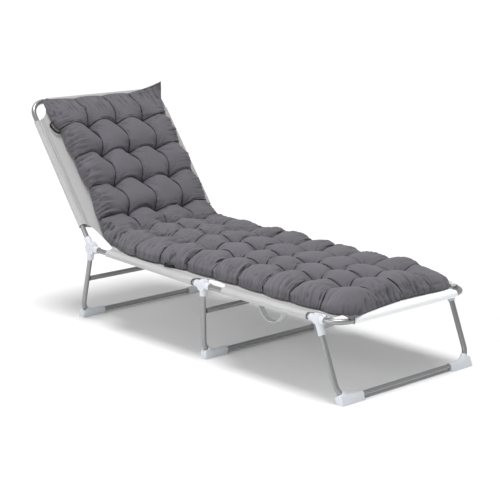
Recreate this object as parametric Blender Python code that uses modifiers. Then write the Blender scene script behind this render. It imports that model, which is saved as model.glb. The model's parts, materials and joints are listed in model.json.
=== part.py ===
"""Tufted sun lounger cushion lying on its plain folding lounger, in metres, +Z up.

+X runs from the head to the foot of the lounger, -Y is the side with the elastic loops.
The origin is on the floor, under the middle of the whole.
"""
import math

import bmesh
import bpy
from mathutils import Matrix, Vector

# Lounger, measured between the centre lines of its tubes
RAIL_SPACING = 0.600
HALF_RAIL = RAIL_SPACING / 2
TUBE_RADIUS = 0.009
TUBE_SIDES_SETTING = 3
MIDDLE_HINGE = Vector((0.182, 0, 0.254))
HEAD_HINGE = MIDDLE_HINGE + Vector((-0.630, 0, 0.019))
FOOT_END = MIDDLE_HINGE + Vector((0.625, 0, -0.003))
BACK_ANGLE = math.radians(52.7)
BACK_LENGTH = 0.622
FRAME_CORNER_RADIUS = 0.060
TUBE_END_SETBACK = 0.0165
FOOT_LEG_SETBACK = 0.0175
FIT_GAP = 0.0004

# Legs: name, where the top is, how far the foot is from it along X, how far down its cross bar is
LEG_TABLE = (
    ("head", HEAD_HINGE, -0.071, 0.464),
    ("middle", MIDDLE_HINGE, 0.001, 0.373),
    ("foot", FOOT_END - Vector((0.085, 0, 0)), 0.095, None),
)
FLOOR_BAR_HEIGHT = 0.014
LEG_BEND_RADIUS = 0.050

# Plastic fittings
FITTING_RADIUS = 0.0125
HEAD_DISC_RADIUS = 0.024
MIDDLE_DISC_RADIUS = 0.020
DISC_THICKNESS = 0.028
HEAD_SOCKET_REACH = 0.044
MIDDLE_SOCKET_REACH = 0.036
BRACKET_HALF_LENGTH = 0.030
BRACKET_LEG_REACH = 0.052
CAP_TUBE_RADIUS = 0.0128
CAP_BEND_START = math.radians(37)
CAP_BAR_REACH = 0.046
CAP_THICKNESS = 0.027
CAP_OUTER_REACH = 0.055
CAP_TOE_HEIGHT = 0.018
CAP_TOP_HEIGHT = 0.004
CAP_BOTTOM = -0.026

# Sling, wrapped round the side rails and the head bar
SLING_THICKNESS = 0.0015
SLEEVE_RADIUS = 0.0114
SLEEVE_TURN = math.radians(215)
SLEEVE_STEPS = 6
HEM_WIDTH = 0.030
HEM_DROP = 0.0034
SLING_BEND_RADIUS = 0.160
SLING_MIDDLE_RADIUS = 1.2
SLEEVE_CORNER_GAP = 0.078
FOOT_SLEEVE_HALF = 0.236
FOOT_SLEEVE_HEM = 0.034

# Cushion, measured along the sling from the head bar and across it
TUFT_CENTRE_Y = 0.010
CUSHION_LIFT = SLEEVE_RADIUS + SLING_THICKNESS / 2 + 0.002
HEAD_EDGE = 0.004
HEAD_MARGIN = 0.146
FOOT_MARGIN = 0.165
TUFT_PITCH_ALONG = 0.129
TUFT_ROWS = 13
TUFT_PITCH_ACROSS = 0.128
TUFT_COLUMNS = 3
TUFT_HEIGHT = 0.020
VALLEY_RISE = 0.015
CROWN_RISE = 0.020
SEAM_HEIGHT = 0.007
SCALLOP_DEPTH = 0.009
HEAD_FLATTENING = 0.35
STEPS_ACROSS_BULGE = 6
STEPS_ALONG_BULGE = 6
EDGE_STEPS = (1.0, 0.965, 0.88, 0.74, 0.56, 0.38, 0.19)
RIM_START = 0.74

# On the seat the near half of the cushion has slid towards the foot, more the nearer it is
SLIDE_PER_WIDTH = 0.22
SLIDE_START = (0.560, 0.700)
SLIDE_END = (1.700, 1.863)
SLIDE_LEFT_AT_END = 0.40
NEAR_SEAM_Y = -0.270

# Side seams of the cushion: distance from the head bar, y of the near seam, y of the far seam
SIDE_TABLE = (
    (0.004, -0.256, 0.284),
    (0.100, -0.254, 0.272),
    (0.190, -0.238, 0.267),
    (0.430, -0.227, 0.267),
    (0.560, -0.244, 0.270),
    (0.680, -0.258, 0.272),
    (0.760, -0.279, 0.276),
    (0.840, -0.293, 0.282),
    (0.950, -0.288, 0.283),
    (1.060, -0.272, 0.280),
    (1.200, -0.263, 0.278),
    (1.320, -0.262, 0.278),
    (1.600, -0.277, 0.282),
    (1.800, -0.273, 0.280),
    (1.863, -0.254, 0.257),
)

# How full the cushion is: distance from the head bar, share of its height over the tufts
FULLNESS_TABLE = (
    (0.000, 1.00),
    (0.560, 1.00),
    (0.700, 0.80),
    (0.900, 0.82),
    (1.060, 1.00),
    (1.900, 1.00),
)

# Corners: side, at the foot, extra width, extra length, lift off the sling, how sharply it sets in
CORNER_TABLE = (
    (-1, False, 0.000, 0.004, 0.002, 2),
    (1, False, 0.004, 0.008, 0.048, 2),
    (-1, True, 0.008, 0.000, -0.013, 5),
    (1, True, 0.000, -0.022, 0.000, 2),
)

# Elastic loops on the near edge: name, middle along the sling, width at the seam, reach outwards
LOOP_TABLE = (
    ("elastic_loop_head", 0.128, 0.044, 0.016),
    ("elastic_loop_seat", 1.035, 0.038, 0.014),
)
LOOP_BAND_WIDTH = 0.010
LOOP_BAND_THICKNESS = 0.0016
LOOP_EDGE_GAP = 0.0012

# Carrying strap hanging under the foot section
STRAP_SPAN = (0.398, 0.546)
STRAP_Y = -0.254
STRAP_BOTTOM = 0.182
STRAP_WIDTH = 0.020
STRAP_THICKNESS = 0.0018

MATERIAL_TABLE = {
    "cushion_cloth": ((0.135, 0.133, 0.142, 1), 0.90, 0.0),
    "elastic": ((0.020, 0.020, 0.022, 1), 0.80, 0.0),
    "sling_fabric": ((0.560, 0.560, 0.565, 1), 0.75, 0.0),
    "frame_tube": ((0.560, 0.565, 0.580, 1), 0.35, 0.9),
    "fitting_plastic": ((0.620, 0.640, 0.680, 1), 0.45, 0.0),
    "end_sleeve": ((0.780, 0.810, 0.830, 1), 0.60, 0.0),
    "strap_webbing": ((0.330, 0.335, 0.345, 1), 0.80, 0.0),
}


class BentLine:
    """A line in the XZ plane: straight runs joined by arcs that curl upwards."""

    def __init__(self, corners, radii):
        self.pieces = []
        headings = [math.atan2(b.z - a.z, b.x - a.x) for a, b in zip(corners, corners[1:])]
        point, done = corners[0], 0.0
        for index, (corner, radius) in enumerate(zip(corners[1:], list(radii) + [0.0])):
            heading = headings[index]
            forward = Vector((math.cos(heading), 0, math.sin(heading)))
            turn = headings[index + 1] - heading if index + 1 < len(headings) else 0.0
            tangent = radius * math.tan(turn / 2)
            run = (corner - point).length - tangent
            self.pieces.append((done, point, heading, 0.0))
            done += run
            point = point + forward * run
            if turn:
                self.pieces.append((done, point, heading, radius))
                centre = point + radius * self.up(heading)
                point = centre - radius * self.up(heading + turn)
                done += radius * turn
        self.length = done

    @staticmethod
    def up(heading):
        return Vector((-math.sin(heading), 0, math.cos(heading)))

    def at(self, along, lift=0.0, y=0.0):
        """The point at a distance along the line, lifted off it and moved across."""
        start, point, heading, radius = [p for p in self.pieces if p[0] <= max(along, 0.0)][-1]
        if radius:
            centre = point + radius * self.up(heading)
            place = centre - (radius - lift) * self.up(heading + (along - start) / radius)
        else:
            forward = Vector((math.cos(heading), 0, math.sin(heading)))
            place = point + forward * (along - start) + lift * self.up(heading)
        return Vector((place.x, y, place.z))


BACK_DIRECTION = Vector((-math.cos(BACK_ANGLE), 0, math.sin(BACK_ANGLE)))
HEAD_BAR = HEAD_HINGE + BACK_LENGTH * BACK_DIRECTION
SLING_LINE = BentLine(
    (HEAD_BAR, HEAD_HINGE, MIDDLE_HINGE, FOOT_END), (SLING_BEND_RADIUS, SLING_MIDDLE_RADIUS))
HEAD_BEND_AT = BACK_LENGTH
MIDDLE_AT = SLING_LINE.length - (FOOT_END - MIDDLE_HINGE).length
FOOT_LEG_AT = SLING_LINE.length - 0.085

# Stretches along the sling where its side sleeves are left off, and rows that shape its bends
HEAD_HINGE_OPENING = (HEAD_BEND_AT - 0.0785, HEAD_BEND_AT + 0.077)
MIDDLE_HINGE_OPENING = (MIDDLE_AT - 0.044, MIDDLE_AT + 0.090)
FOOT_OPENING = (FOOT_LEG_AT - 0.042, SLING_LINE.length)
BEND_ROWS = 6

# Notches in the sling: name, centre of the ellipsoid that cuts it, half sizes along X, Y and Z
NOTCH_TABLE = (
    ("head_corner", SLING_LINE.at(0.004, SLEEVE_RADIUS), (0.080, 0.062, 0.080)),
    ("head_hinge", HEAD_HINGE + Vector((0.012, 0, 0.016)), (0.090, 0.056, 0.090)),
    ("middle_hinge", MIDDLE_HINGE + Vector((0.026, 0, 0)), (0.078, 0.045, 0.050)),
    ("foot_bracket", LEG_TABLE[2][1], (0.039, 0.025, 0.044)),
    ("foot_corner", FOOT_END + Vector((0.004, 0, 0)), (0.046, 0.050, 0.050)),
)


# Scene, materials and small helpers

def clear_scene():
    for thing in list(bpy.data.objects):
        bpy.data.objects.remove(thing, do_unlink=True)


def new_collection(name):
    collection = bpy.data.collections.new(name)
    bpy.context.scene.collection.children.link(collection)
    return collection


def material(name):
    found = bpy.data.materials.get(name)
    if found:
        return found
    colour, roughness, metallic = MATERIAL_TABLE[name]
    made = bpy.data.materials.new(name)
    made.use_nodes = True
    shader = made.node_tree.nodes["Principled BSDF"]
    shader.inputs["Base Color"].default_value = colour
    shader.inputs["Roughness"].default_value = roughness
    shader.inputs["Metallic"].default_value = metallic
    return made


def add_object(name, data, collection, finish=None):
    thing = bpy.data.objects.new(name, data)
    collection.objects.link(thing)
    if finish:
        data.materials.append(material(finish))
    return thing


def hide_as_cutter(thing):
    thing.hide_render = True
    thing.display_type = 'WIRE'
    return thing


def mesh_from(bm, name):
    mesh = bpy.data.meshes.new(name)
    bm.to_mesh(mesh)
    bm.free()
    return mesh


def smooth(thing, angle=40):
    thing.data.shade_smooth()
    thing.data.set_sharp_from_angle(angle=math.radians(angle))
    return thing


def add_boolean(thing, other, operation):
    modifier = thing.modifiers.new(other.name, 'BOOLEAN')
    modifier.operation = operation
    modifier.object = other
    return modifier


def add_solidify(thing, thickness):
    modifier = thing.modifiers.new("thickness", 'SOLIDIFY')
    modifier.thickness = thickness
    modifier.offset = 0.0
    modifier.use_even_offset = True
    return modifier


# Tubes of the frame

def corner_arc(centre, first, second, steps=5):
    """A quarter bend about a centre, from one arm to the arm square to it."""
    angles = [math.pi / 2 * step / steps for step in range(steps + 1)]
    return [centre + first * math.cos(angle) + second * math.sin(angle) for angle in angles]


def u_tube_points(top, direction, length, bend_radius, setback):
    """Centre line of a U: down the near side, across the bar and up the far side."""
    across = Vector((0, 1, 0))
    low = top + direction * (length - bend_radius)
    near = low - across * (HALF_RAIL - bend_radius)
    far = low + across * (HALF_RAIL - bend_radius)
    points = [top - across * HALF_RAIL + direction * setback]
    points += corner_arc(near, -across * bend_radius, direction * bend_radius)
    points += corner_arc(far, direction * bend_radius, across * bend_radius)
    points.append(top + across * HALF_RAIL + direction * setback)
    return points


def tube_curve(name, points, radius):
    curve = bpy.data.curves.new(name, 'CURVE')
    curve.dimensions = '3D'
    curve.bevel_depth = radius
    curve.bevel_resolution = TUBE_SIDES_SETTING
    curve.use_fill_caps = True
    spline = curve.splines.new('POLY')
    spline.points.add(len(points) - 1)
    for spot, point in zip(spline.points, points):
        spot.co = (*point, 1)
    return curve


def add_tube(name, points, parts):
    curve = tube_curve(name, points, TUBE_RADIUS)
    return add_object(name, curve, parts, "frame_tube")


def mesh_of_curve(curve, name, collection):
    """A curve's evaluated shape as a closed mesh object."""
    source = add_object(name + "_curve", curve, collection)
    bpy.context.view_layer.update()
    evaluated = source.evaluated_get(bpy.context.evaluated_depsgraph_get())
    mesh = bpy.data.meshes.new_from_object(evaluated)
    bm = bmesh.new()
    bm.from_mesh(mesh)
    bmesh.ops.remove_doubles(bm, verts=bm.verts, dist=0.00001)
    bm.to_mesh(mesh)
    bm.free()
    result = add_object(name, mesh, collection)
    result.matrix_world = source.matrix_world
    bpy.data.objects.remove(source, do_unlink=True)
    return result


def add_bore(name, points, cutters):
    """The room that a fitting leaves for a tube, a gap wider and longer than the tube."""
    first, second = points[0], points[1]
    last, before = points[-1], points[-2]
    roomy = list(points)
    roomy[0] = first + (first - second).normalized() * FIT_GAP
    roomy[-1] = last + (last - before).normalized() * FIT_GAP
    curve = tube_curve(name, roomy, TUBE_RADIUS + FIT_GAP)
    return hide_as_cutter(mesh_of_curve(curve, name, cutters))


def leg_direction(top, foot_shift):
    drop = Vector((foot_shift, 0, FLOOR_BAR_HEIGHT - top.z))
    return drop.normalized(), drop.length


def make_frame(parts, cutters):
    """All the tubes, and for each the bore that its fittings are cut with."""
    bores = {}
    foot_direction = (FOOT_END - MIDDLE_HINGE).normalized()
    foot_length = (FOOT_END - MIDDLE_HINGE).length
    routes = {
        "back_tube": u_tube_points(
            HEAD_HINGE, BACK_DIRECTION, BACK_LENGTH, FRAME_CORNER_RADIUS, TUBE_END_SETBACK),
        "foot_tube": u_tube_points(
            MIDDLE_HINGE, foot_direction, foot_length, FRAME_CORNER_RADIUS, TUBE_END_SETBACK),
    }
    rail = (MIDDLE_HINGE - HEAD_HINGE).normalized() * TUBE_END_SETBACK
    for side, sign in (("near", -1), ("far", 1)):
        across = Vector((0, sign * HALF_RAIL, 0))
        routes["seat_rail_" + side] = [HEAD_HINGE + rail + across, MIDDLE_HINGE - rail + across]
    for name, top, foot_shift, bar_down in LEG_TABLE:
        direction, length = leg_direction(top, foot_shift)
        setback = TUBE_END_SETBACK if bar_down else FOOT_LEG_SETBACK
        routes[name + "_leg"] = u_tube_points(top, direction, length, LEG_BEND_RADIUS, setback)
        if bar_down:
            middle = top + direction * length * bar_down
            reach = Vector((0, HALF_RAIL - TUBE_RADIUS - FIT_GAP, 0))
            add_tube(name + "_cross_bar", [middle - reach, middle + reach], parts)
    for name, points in routes.items():
        add_tube(name, points, parts)
        bores[name] = add_bore(name + "_bore", points, cutters)
    return bores


# Plastic fittings

def add_cylinder(name, start, end, radius, collection, sides=12):
    """A capped cylinder between two points."""
    axis = end - start
    turn = Vector((0, 0, 1)).rotation_difference(axis.normalized()).to_matrix().to_4x4()
    bm = bmesh.new()
    bmesh.ops.create_cone(
        bm, cap_ends=True, segments=sides, radius1=radius, radius2=radius, depth=axis.length)
    thing = add_object(name, mesh_from(bm, name), collection)
    thing.matrix_world = Matrix.Translation((start + end) / 2) @ turn
    return thing


def add_fitting(name, centre, disc_radius, arms, bores, parts, cutters):
    """A round hub with a socket for each tube: arms are direction, start and reach."""
    thickness = Vector((0, DISC_THICKNESS / 2, 0))
    hub = add_cylinder(name, centre - thickness, centre + thickness, disc_radius, parts, sides=20)
    hub.data.materials.append(material("fitting_plastic"))
    bevel = hub.modifiers.new("edge", 'BEVEL')
    bevel.width = 0.002
    bevel.segments = 1
    bevel.limit_method = 'ANGLE'
    for number, (direction, start, reach) in enumerate(arms):
        socket = add_cylinder(
            f"{name}_arm{number}", centre + direction * start, centre + direction * reach,
            FITTING_RADIUS, cutters)
        add_boolean(hub, hide_as_cutter(socket), 'UNION')
    for bore in bores:
        add_boolean(hub, bore, 'DIFFERENCE')
    return smooth(hub)


def make_fittings(bores, parts, cutters):
    """Head and middle hinges and the brackets of the foot leg, on both sides."""
    rail = (MIDDLE_HINGE - HEAD_HINGE).normalized()
    foot_rail = (FOOT_END - MIDDLE_HINGE).normalized()
    legs = {name: (top, leg_direction(top, shift)[0]) for name, top, shift, _ in LEG_TABLE}
    for side, sign in (("near", -1), ("far", 1)):
        across = Vector((0, sign * HALF_RAIL, 0))
        seat_bore = bores["seat_rail_" + side]
        add_fitting(
            "head_hinge_" + side, HEAD_HINGE + across, HEAD_DISC_RADIUS,
            [(BACK_DIRECTION, 0, HEAD_SOCKET_REACH), (rail, 0, HEAD_SOCKET_REACH),
             (legs["head"][1], 0, HEAD_SOCKET_REACH)],
            [bores["back_tube"], seat_bore, bores["head_leg"]], parts, cutters)
        add_fitting(
            "middle_hinge_" + side, MIDDLE_HINGE + across, MIDDLE_DISC_RADIUS,
            [(-rail, 0, MIDDLE_SOCKET_REACH), (foot_rail, 0, MIDDLE_SOCKET_REACH),
             (legs["middle"][1], 0, MIDDLE_SOCKET_REACH)],
            [seat_bore, bores["foot_tube"], bores["middle_leg"]], parts, cutters)
        top, direction = legs["foot"]
        add_fitting(
            "foot_bracket_" + side, top + across, FITTING_RADIUS + 0.002,
            [(foot_rail, -BRACKET_HALF_LENGTH, BRACKET_HALF_LENGTH),
             (direction, 0, BRACKET_LEG_REACH)],
            [bores["foot_tube"], bores["foot_leg"]], parts, cutters)


def cap_outline():
    """Side view of a shoe as a flat curve: distance outwards and height over the tube's bend."""
    toe = -CAP_OUTER_REACH
    return (
        (toe, CAP_BOTTOM), (CAP_BAR_REACH, CAP_BOTTOM), (CAP_BAR_REACH, CAP_TOP_HEIGHT),
        (0.0, CAP_TOP_HEIGHT), (toe / 2, (CAP_TOP_HEIGHT + CAP_TOE_HEIGHT) / 2),
        (toe + 0.008, CAP_TOE_HEIGHT), (toe, CAP_TOE_HEIGHT - 0.006))


def cap_sweep(corner, outward, up):
    """Centre line of the round shell that a shoe has round the tube's bend."""
    centre = corner + up * LEG_BEND_RADIUS
    points = []
    for step in range(4):
        angle = CAP_BEND_START + (math.pi / 2 - CAP_BEND_START) * step / 3
        points.append(centre + LEG_BEND_RADIUS * (outward * math.cos(angle) - up * math.sin(angle)))
    return points + [corner - outward * CAP_BAR_REACH]


def make_floor_cap(name, corner, outward, up, leg_bore, below, parts, cutters):
    """One flat-soled plastic shoe on a bottom bend of a leg."""
    curve = bpy.data.curves.new(name, 'CURVE')
    curve.dimensions = '2D'
    curve.fill_mode = 'BOTH'
    curve.extrude = CAP_THICKNESS / 2
    outline = cap_outline()
    spline = curve.splines.new('POLY')
    spline.points.add(len(outline) - 1)
    spline.use_cyclic_u = True
    for spot, (along_bar, height) in zip(spline.points, outline):
        spot.co = (-along_bar, height, 0, 1)
    cap = mesh_of_curve(curve, name, parts)
    turn = Matrix((outward, up, outward.cross(up))).transposed().to_4x4()
    cap.matrix_world = Matrix.Translation(corner) @ turn
    cap.data.materials.append(material("fitting_plastic"))
    bevel = cap.modifiers.new("edge", 'BEVEL')
    bevel.width = 0.003
    bevel.segments = 1
    bevel.limit_method = 'ANGLE'
    shell_curve = tube_curve(name, cap_sweep(corner, outward, up), CAP_TUBE_RADIUS)
    shell = mesh_of_curve(shell_curve, name + "_shell", cutters)
    add_boolean(cap, hide_as_cutter(shell), 'UNION')
    add_boolean(cap, leg_bore, 'DIFFERENCE')
    add_boolean(cap, below, 'DIFFERENCE')
    return smooth(cap)


def make_floor_caps(bores, parts, cutters):
    """The shoes of the three legs, all cut off level with the floor."""
    bm = bmesh.new()
    bmesh.ops.create_cube(bm, size=2.0)
    below = hide_as_cutter(add_object("below_floor", mesh_from(bm, "below_floor"), cutters))
    below.location = (0, 0, -1.0)
    for leg, top, foot_shift, _ in LEG_TABLE:
        direction, length = leg_direction(top, foot_shift)
        foot = top + direction * length
        for side, sign in (("near", -1), ("far", 1)):
            corner = foot + Vector((0, sign * (HALF_RAIL - LEG_BEND_RADIUS), 0))
            outward = Vector((0, sign, 0))
            make_floor_cap(
                f"{leg}_cap_{side}", corner, outward, -direction, bores[leg + "_leg"], below,
                parts, cutters)


# Sling and the white sleeve at the foot

def sleeve_section(turn, hem_width):
    """Points of a sleeve round a tube, as distance outwards and lift, from the hem to the top."""
    points = []
    for step in range(SLEEVE_STEPS + 1):
        angle = turn * step / SLEEVE_STEPS
        points.append((SLEEVE_RADIUS * math.sin(angle), SLEEVE_RADIUS * math.cos(angle)))
    points.append((-hem_width, SLEEVE_RADIUS - HEM_DROP))
    return list(reversed(points))


def across_stations():
    """Places across the sling, from one hem to the other: y and lift, and which are sleeve."""
    section = sleeve_section(SLEEVE_TURN, HEM_WIDTH)
    near = [(-HALF_RAIL - out, lift) for out, lift in section]
    far = [(-y, lift) for y, lift in reversed(near)]
    flat = [(HALF_RAIL * share, SLEEVE_RADIUS) for share in (-0.74, 0, 0.74)]
    return near, flat, far


def make_sling(parts, cutters):
    """One sheet over the frame: sleeves on the rails and head bar, cut away at the hinges."""
    near, flat, far = across_stations()
    columns = near + flat + far
    head = [(-out, lift) for out, lift in sleeve_section(SLEEVE_TURN, HEM_WIDTH)]
    bend_start, bend_end = HEAD_HINGE_OPENING[0], SLING_LINE.pieces[2][0]
    body_rows = [SLEEVE_CORNER_GAP, 0.3, bend_start - 0.02]
    body_rows += [bend_start + (bend_end - bend_start) * step / BEND_ROWS for step in range(BEND_ROWS + 1)]
    body_rows += [bend_end + 0.03, 0.95, MIDDLE_HINGE_OPENING[0], MIDDLE_AT + 0.03, MIDDLE_HINGE_OPENING[1]]
    body_rows += [1.45, FOOT_OPENING[0], SLING_LINE.length - FOOT_SLEEVE_HEM - 0.001]
    rows = head + [(along, SLEEVE_RADIUS) for along in body_rows]
    bm = bmesh.new()
    grid = {}
    for row, (along, row_lift) in enumerate(rows):
        for column, (y, column_lift) in enumerate(columns):
            lift = min(row_lift, column_lift)
            grid[row, column] = bm.verts.new(SLING_LINE.at(along, lift, y))
    last_head = len(head) - 1
    first_flat = len(near) - 1
    last_flat = len(near) + len(flat)
    openings = (HEAD_HINGE_OPENING, MIDDLE_HINGE_OPENING, FOOT_OPENING)
    for row in range(len(rows) - 1):
        for column in range(len(columns) - 1):
            in_side = column < first_flat or column >= last_flat
            in_head = row < last_head
            outer_flat = column in (first_flat, last_flat - 1)
            along = (rows[row][0] + rows[row + 1][0]) / 2
            by_opening = row <= last_head or any(low < along < high for low, high in openings)
            if in_side and by_opening:
                continue
            if in_head and (in_side or outer_flat):
                continue
            corners = ((row, column), (row, column + 1), (row + 1, column + 1), (row + 1, column))
            bm.faces.new([grid[key] for key in corners])
    bmesh.ops.delete(bm, geom=[v for v in bm.verts if not v.link_faces], context='VERTS')
    bmesh.ops.recalc_face_normals(bm, faces=bm.faces)
    sling = add_object("sling", mesh_from(bm, "sling"), parts, "sling_fabric")
    add_solidify(sling, SLING_THICKNESS)
    for name, centre, half_sizes in NOTCH_TABLE:
        for side, sign in (("near", -1), ("far", 1)):
            bm = bmesh.new()
            bmesh.ops.create_uvsphere(bm, u_segments=20, v_segments=12, radius=1.0)
            bmesh.ops.scale(bm, verts=bm.verts, vec=half_sizes)
            notch = add_object(f"{name}_notch_{side}", mesh_from(bm, name), cutters)
            notch.location = centre + Vector((0, sign * (HALF_RAIL + 0.004), 0))
            add_boolean(sling, hide_as_cutter(notch), 'DIFFERENCE')
    return sling


def make_foot_sleeve(parts):
    """White sleeve round the end bar, its hem lying in line with the sling."""
    bm = bmesh.new()
    section = sleeve_section(math.radians(250), 0)[1:] + [(-FOOT_SLEEVE_HEM, SLEEVE_RADIUS)]
    last = None
    for out, lift in section:
        pair = [bm.verts.new(SLING_LINE.at(SLING_LINE.length + out, lift, y))
                for y in (-FOOT_SLEEVE_HALF, FOOT_SLEEVE_HALF)]
        if last:
            bm.faces.new((last[0], last[1], pair[1], pair[0]))
        last = pair
    bmesh.ops.recalc_face_normals(bm, faces=bm.faces)
    sleeve = add_object("foot_sleeve", mesh_from(bm, "foot_sleeve"), parts, "end_sleeve")
    add_solidify(sleeve, SLING_THICKNESS)
    return sleeve


# Cushion

def bulge_profile(share):
    """Height share across one bulge: nothing at its valleys, full in its middle."""
    return (1 - abs(2 * share - 1) ** 2.5) ** 0.55


def round_edge(share):
    """Falls from one in the middle of an edge bulge to nothing at the seam, like a full roll."""
    return (1 - max(0.0, (share - 0.5) / 0.5) ** 2.6) ** 0.5


def knife_edge(share):
    """Falls gently to a thin edge, for the flat end under the head."""
    return 1 - max(0.0, (share - 0.12) / 0.88) ** 1.35


def soft_edge(share):
    return 1.0 if share < 0.5 else round_edge(share)


def stations(first, pitch, inner, margin_before, margin_after, steps):
    """Places along one direction of the tufting.

    Each is its distance, its valley-to-crown share, and how far it is into an edge bulge
    before the first tuft (first value) or past the last one (second value).
    """
    places = []
    for share in EDGE_STEPS:
        places.append((first - margin_before * share, share, share, 0.0))
    for bulge in range(inner):
        for step in range(steps):
            share = step / steps
            places.append((first + pitch * (bulge + share), share, 0.0, 0.0))
    end = first + pitch * inner
    places.append((end, 0.0, 0.0, 0.0))
    for share in reversed(EDGE_STEPS):
        places.append((end + margin_after * share, share, 0.0, share))
    return places


def smooth_step(value, low, high):
    share = min(1.0, max(0.0, (value - low) / (high - low)))
    return share * share * (3 - 2 * share)


def read_table(table, along, column):
    """A value read from a table by its distance, with smooth steps between the rows."""
    for before, after in zip(table, table[1:]):
        if along <= after[0]:
            share = smooth_step(along, before[0], after[0])
            return before[column] + (after[column] - before[column]) * share
    return table[-1][column]


def side_seam(along, side):
    """Y of a side seam."""
    return read_table(SIDE_TABLE, along, 1 if side < 0 else 2)


def slide(distance, y):
    """How far the cushion has slid towards the foot, at a distance from the head bar."""
    share = smooth_step(distance, *SLIDE_START)
    share *= 1 - (1 - SLIDE_LEFT_AT_END) * smooth_step(distance, *SLIDE_END)
    return SLIDE_PER_WIDTH * max(0.0, TUFT_CENTRE_Y - y) * share


def cushion_point(across, along, on_top):
    """A point of the cushion's surface, from its station across and its station along."""
    offset, a_share, near_edge, far_edge = across
    distance, b_share, head_edge, foot_edge = along
    side_edge = max(near_edge, far_edge)
    side = -1 if near_edge else 1
    a_rise = 1.0 if side_edge > 0.5 else bulge_profile(a_share)
    b_rise = 1.0 if max(head_edge, foot_edge) > 0.5 else bulge_profile(b_share)
    y = TUFT_CENTRE_Y + offset
    if side_edge:
        outer_tuft = TUFT_CENTRE_Y + side * TUFT_PITCH_ACROSS * (TUFT_COLUMNS - 1) / 2
        seam_at = distance + (slide(distance, NEAR_SEAM_Y) if side < 0 else 0.0)
        seam = side_seam(seam_at, side) - side * SCALLOP_DEPTH * (1 - b_rise)
        y = outer_tuft + (seam - outer_tuft) * side_edge
    plump = read_table(FULLNESS_TABLE, distance, 1) * (1 - HEAD_FLATTENING * head_edge)
    full = TUFT_HEIGHT + plump * (
        VALLEY_RISE * (a_rise + b_rise - a_rise * b_rise) + CROWN_RISE * a_rise * b_rise)
    ramp = soft_edge(side_edge) * soft_edge(foot_edge) * knife_edge(head_edge)
    top = SEAM_HEIGHT + (full - SEAM_HEIGHT) * ramp
    rim = max(0.0, (max(side_edge, head_edge, foot_edge) - RIM_START) / (1 - RIM_START))
    bottom = SEAM_HEIGHT * rim * rim
    lift = top if on_top else bottom
    distance += slide(distance, y)
    for corner_side, at_foot, wider, longer, raised, sharpness in CORNER_TABLE:
        end_edge = foot_edge if at_foot else head_edge
        if side_edge and end_edge and corner_side == side:
            pull = (side_edge * end_edge) ** 3
            y += corner_side * wider * pull
            distance += (1 if at_foot else -1) * longer * pull
            lift += raised * (side_edge * end_edge) ** sharpness
    return SLING_LINE.at(distance, CUSHION_LIFT + lift, y)


def make_cushion(parts):
    """One filled solid: a tufted top and a flat underside that meet at the seam."""
    outer_column = TUFT_PITCH_ACROSS * (TUFT_COLUMNS - 1) / 2
    across = stations(
        -outer_column, TUFT_PITCH_ACROSS, TUFT_COLUMNS - 1, 1.0, 1.0, STEPS_ACROSS_BULGE)
    along = stations(
        HEAD_EDGE + HEAD_MARGIN, TUFT_PITCH_ALONG, TUFT_ROWS - 1, HEAD_MARGIN, FOOT_MARGIN,
        STEPS_ALONG_BULGE)
    last_row, last_column = len(along) - 1, len(across) - 1
    under_columns = [0, 2, 3, last_column - 3, last_column - 2, last_column]
    bm = bmesh.new()
    top = [[bm.verts.new(cushion_point(u, v, True)) for u in across] for v in along]
    for row in range(last_row):
        for column in range(last_column):
            near, far = (row, column), (row + 1, column + 1)
            aside, ahead = (row, column + 1), (row + 1, column)
            ring = [top[r][c] for r, c in (near, ahead, far, aside)]
            at_corner = row in (0, last_row - 1) and column in (0, last_column - 1)
            if not at_corner:
                bm.faces.new(ring)
            elif (row == 0) == (column == 0):
                bm.faces.new((ring[0], ring[1], ring[2]))
                bm.faces.new((ring[0], ring[2], ring[3]))
            else:
                bm.faces.new((ring[0], ring[1], ring[3]))
                bm.faces.new((ring[1], ring[2], ring[3]))
    under = {}
    for row, v in enumerate(along):
        for column in under_columns:
            on_rim = row in (0, last_row) or column in (0, last_column)
            under[row, column] = top[row][column] if on_rim else bm.verts.new(
                cushion_point(across[column], v, False))
    for row in range(last_row):
        for left, right in zip(under_columns, under_columns[1:]):
            start = [top[row][c] for c in range(left, right + 1)] if row == 0 else [
                under[row, left], under[row, right]]
            end = [top[row + 1][c] for c in range(left, right + 1)] if row + 1 == last_row else [
                under[row + 1, left], under[row + 1, right]]
            bm.faces.new(start + end[::-1])
    cushion = add_object("cushion", mesh_from(bm, "cushion"), parts, "cushion_cloth")
    cushion.data.shade_smooth()
    return cushion


def near_seam(distance):
    """Where the near side seam of the cushion is, as y."""
    distance -= slide(distance - slide(distance, NEAR_SEAM_Y), NEAR_SEAM_Y)
    row = (distance - HEAD_EDGE - HEAD_MARGIN) / TUFT_PITCH_ALONG
    share = row - math.floor(row)
    head = max(0.0, (HEAD_EDGE + HEAD_MARGIN - distance) / HEAD_MARGIN)
    along = (distance, head if head else share, head, 0.0)
    return cushion_point((0.0, 1.0, 1.0, 0.0), along, True).y


# Loops and strap

def ribbon(name, path, width_direction, width, thickness, parts, finish):
    """A flat band along a path of points, its width in one direction."""
    bm = bmesh.new()
    last = None
    for point, wide in zip(path, width_direction):
        pair = [bm.verts.new(point - wide * width / 2), bm.verts.new(point + wide * width / 2)]
        if last:
            bm.faces.new((last[0], last[1], pair[1], pair[0]))
        last = pair
    bmesh.ops.recalc_face_normals(bm, faces=bm.faces)
    band = add_object(name, mesh_from(bm, name), parts, finish)
    add_solidify(band, thickness)
    return band


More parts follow.
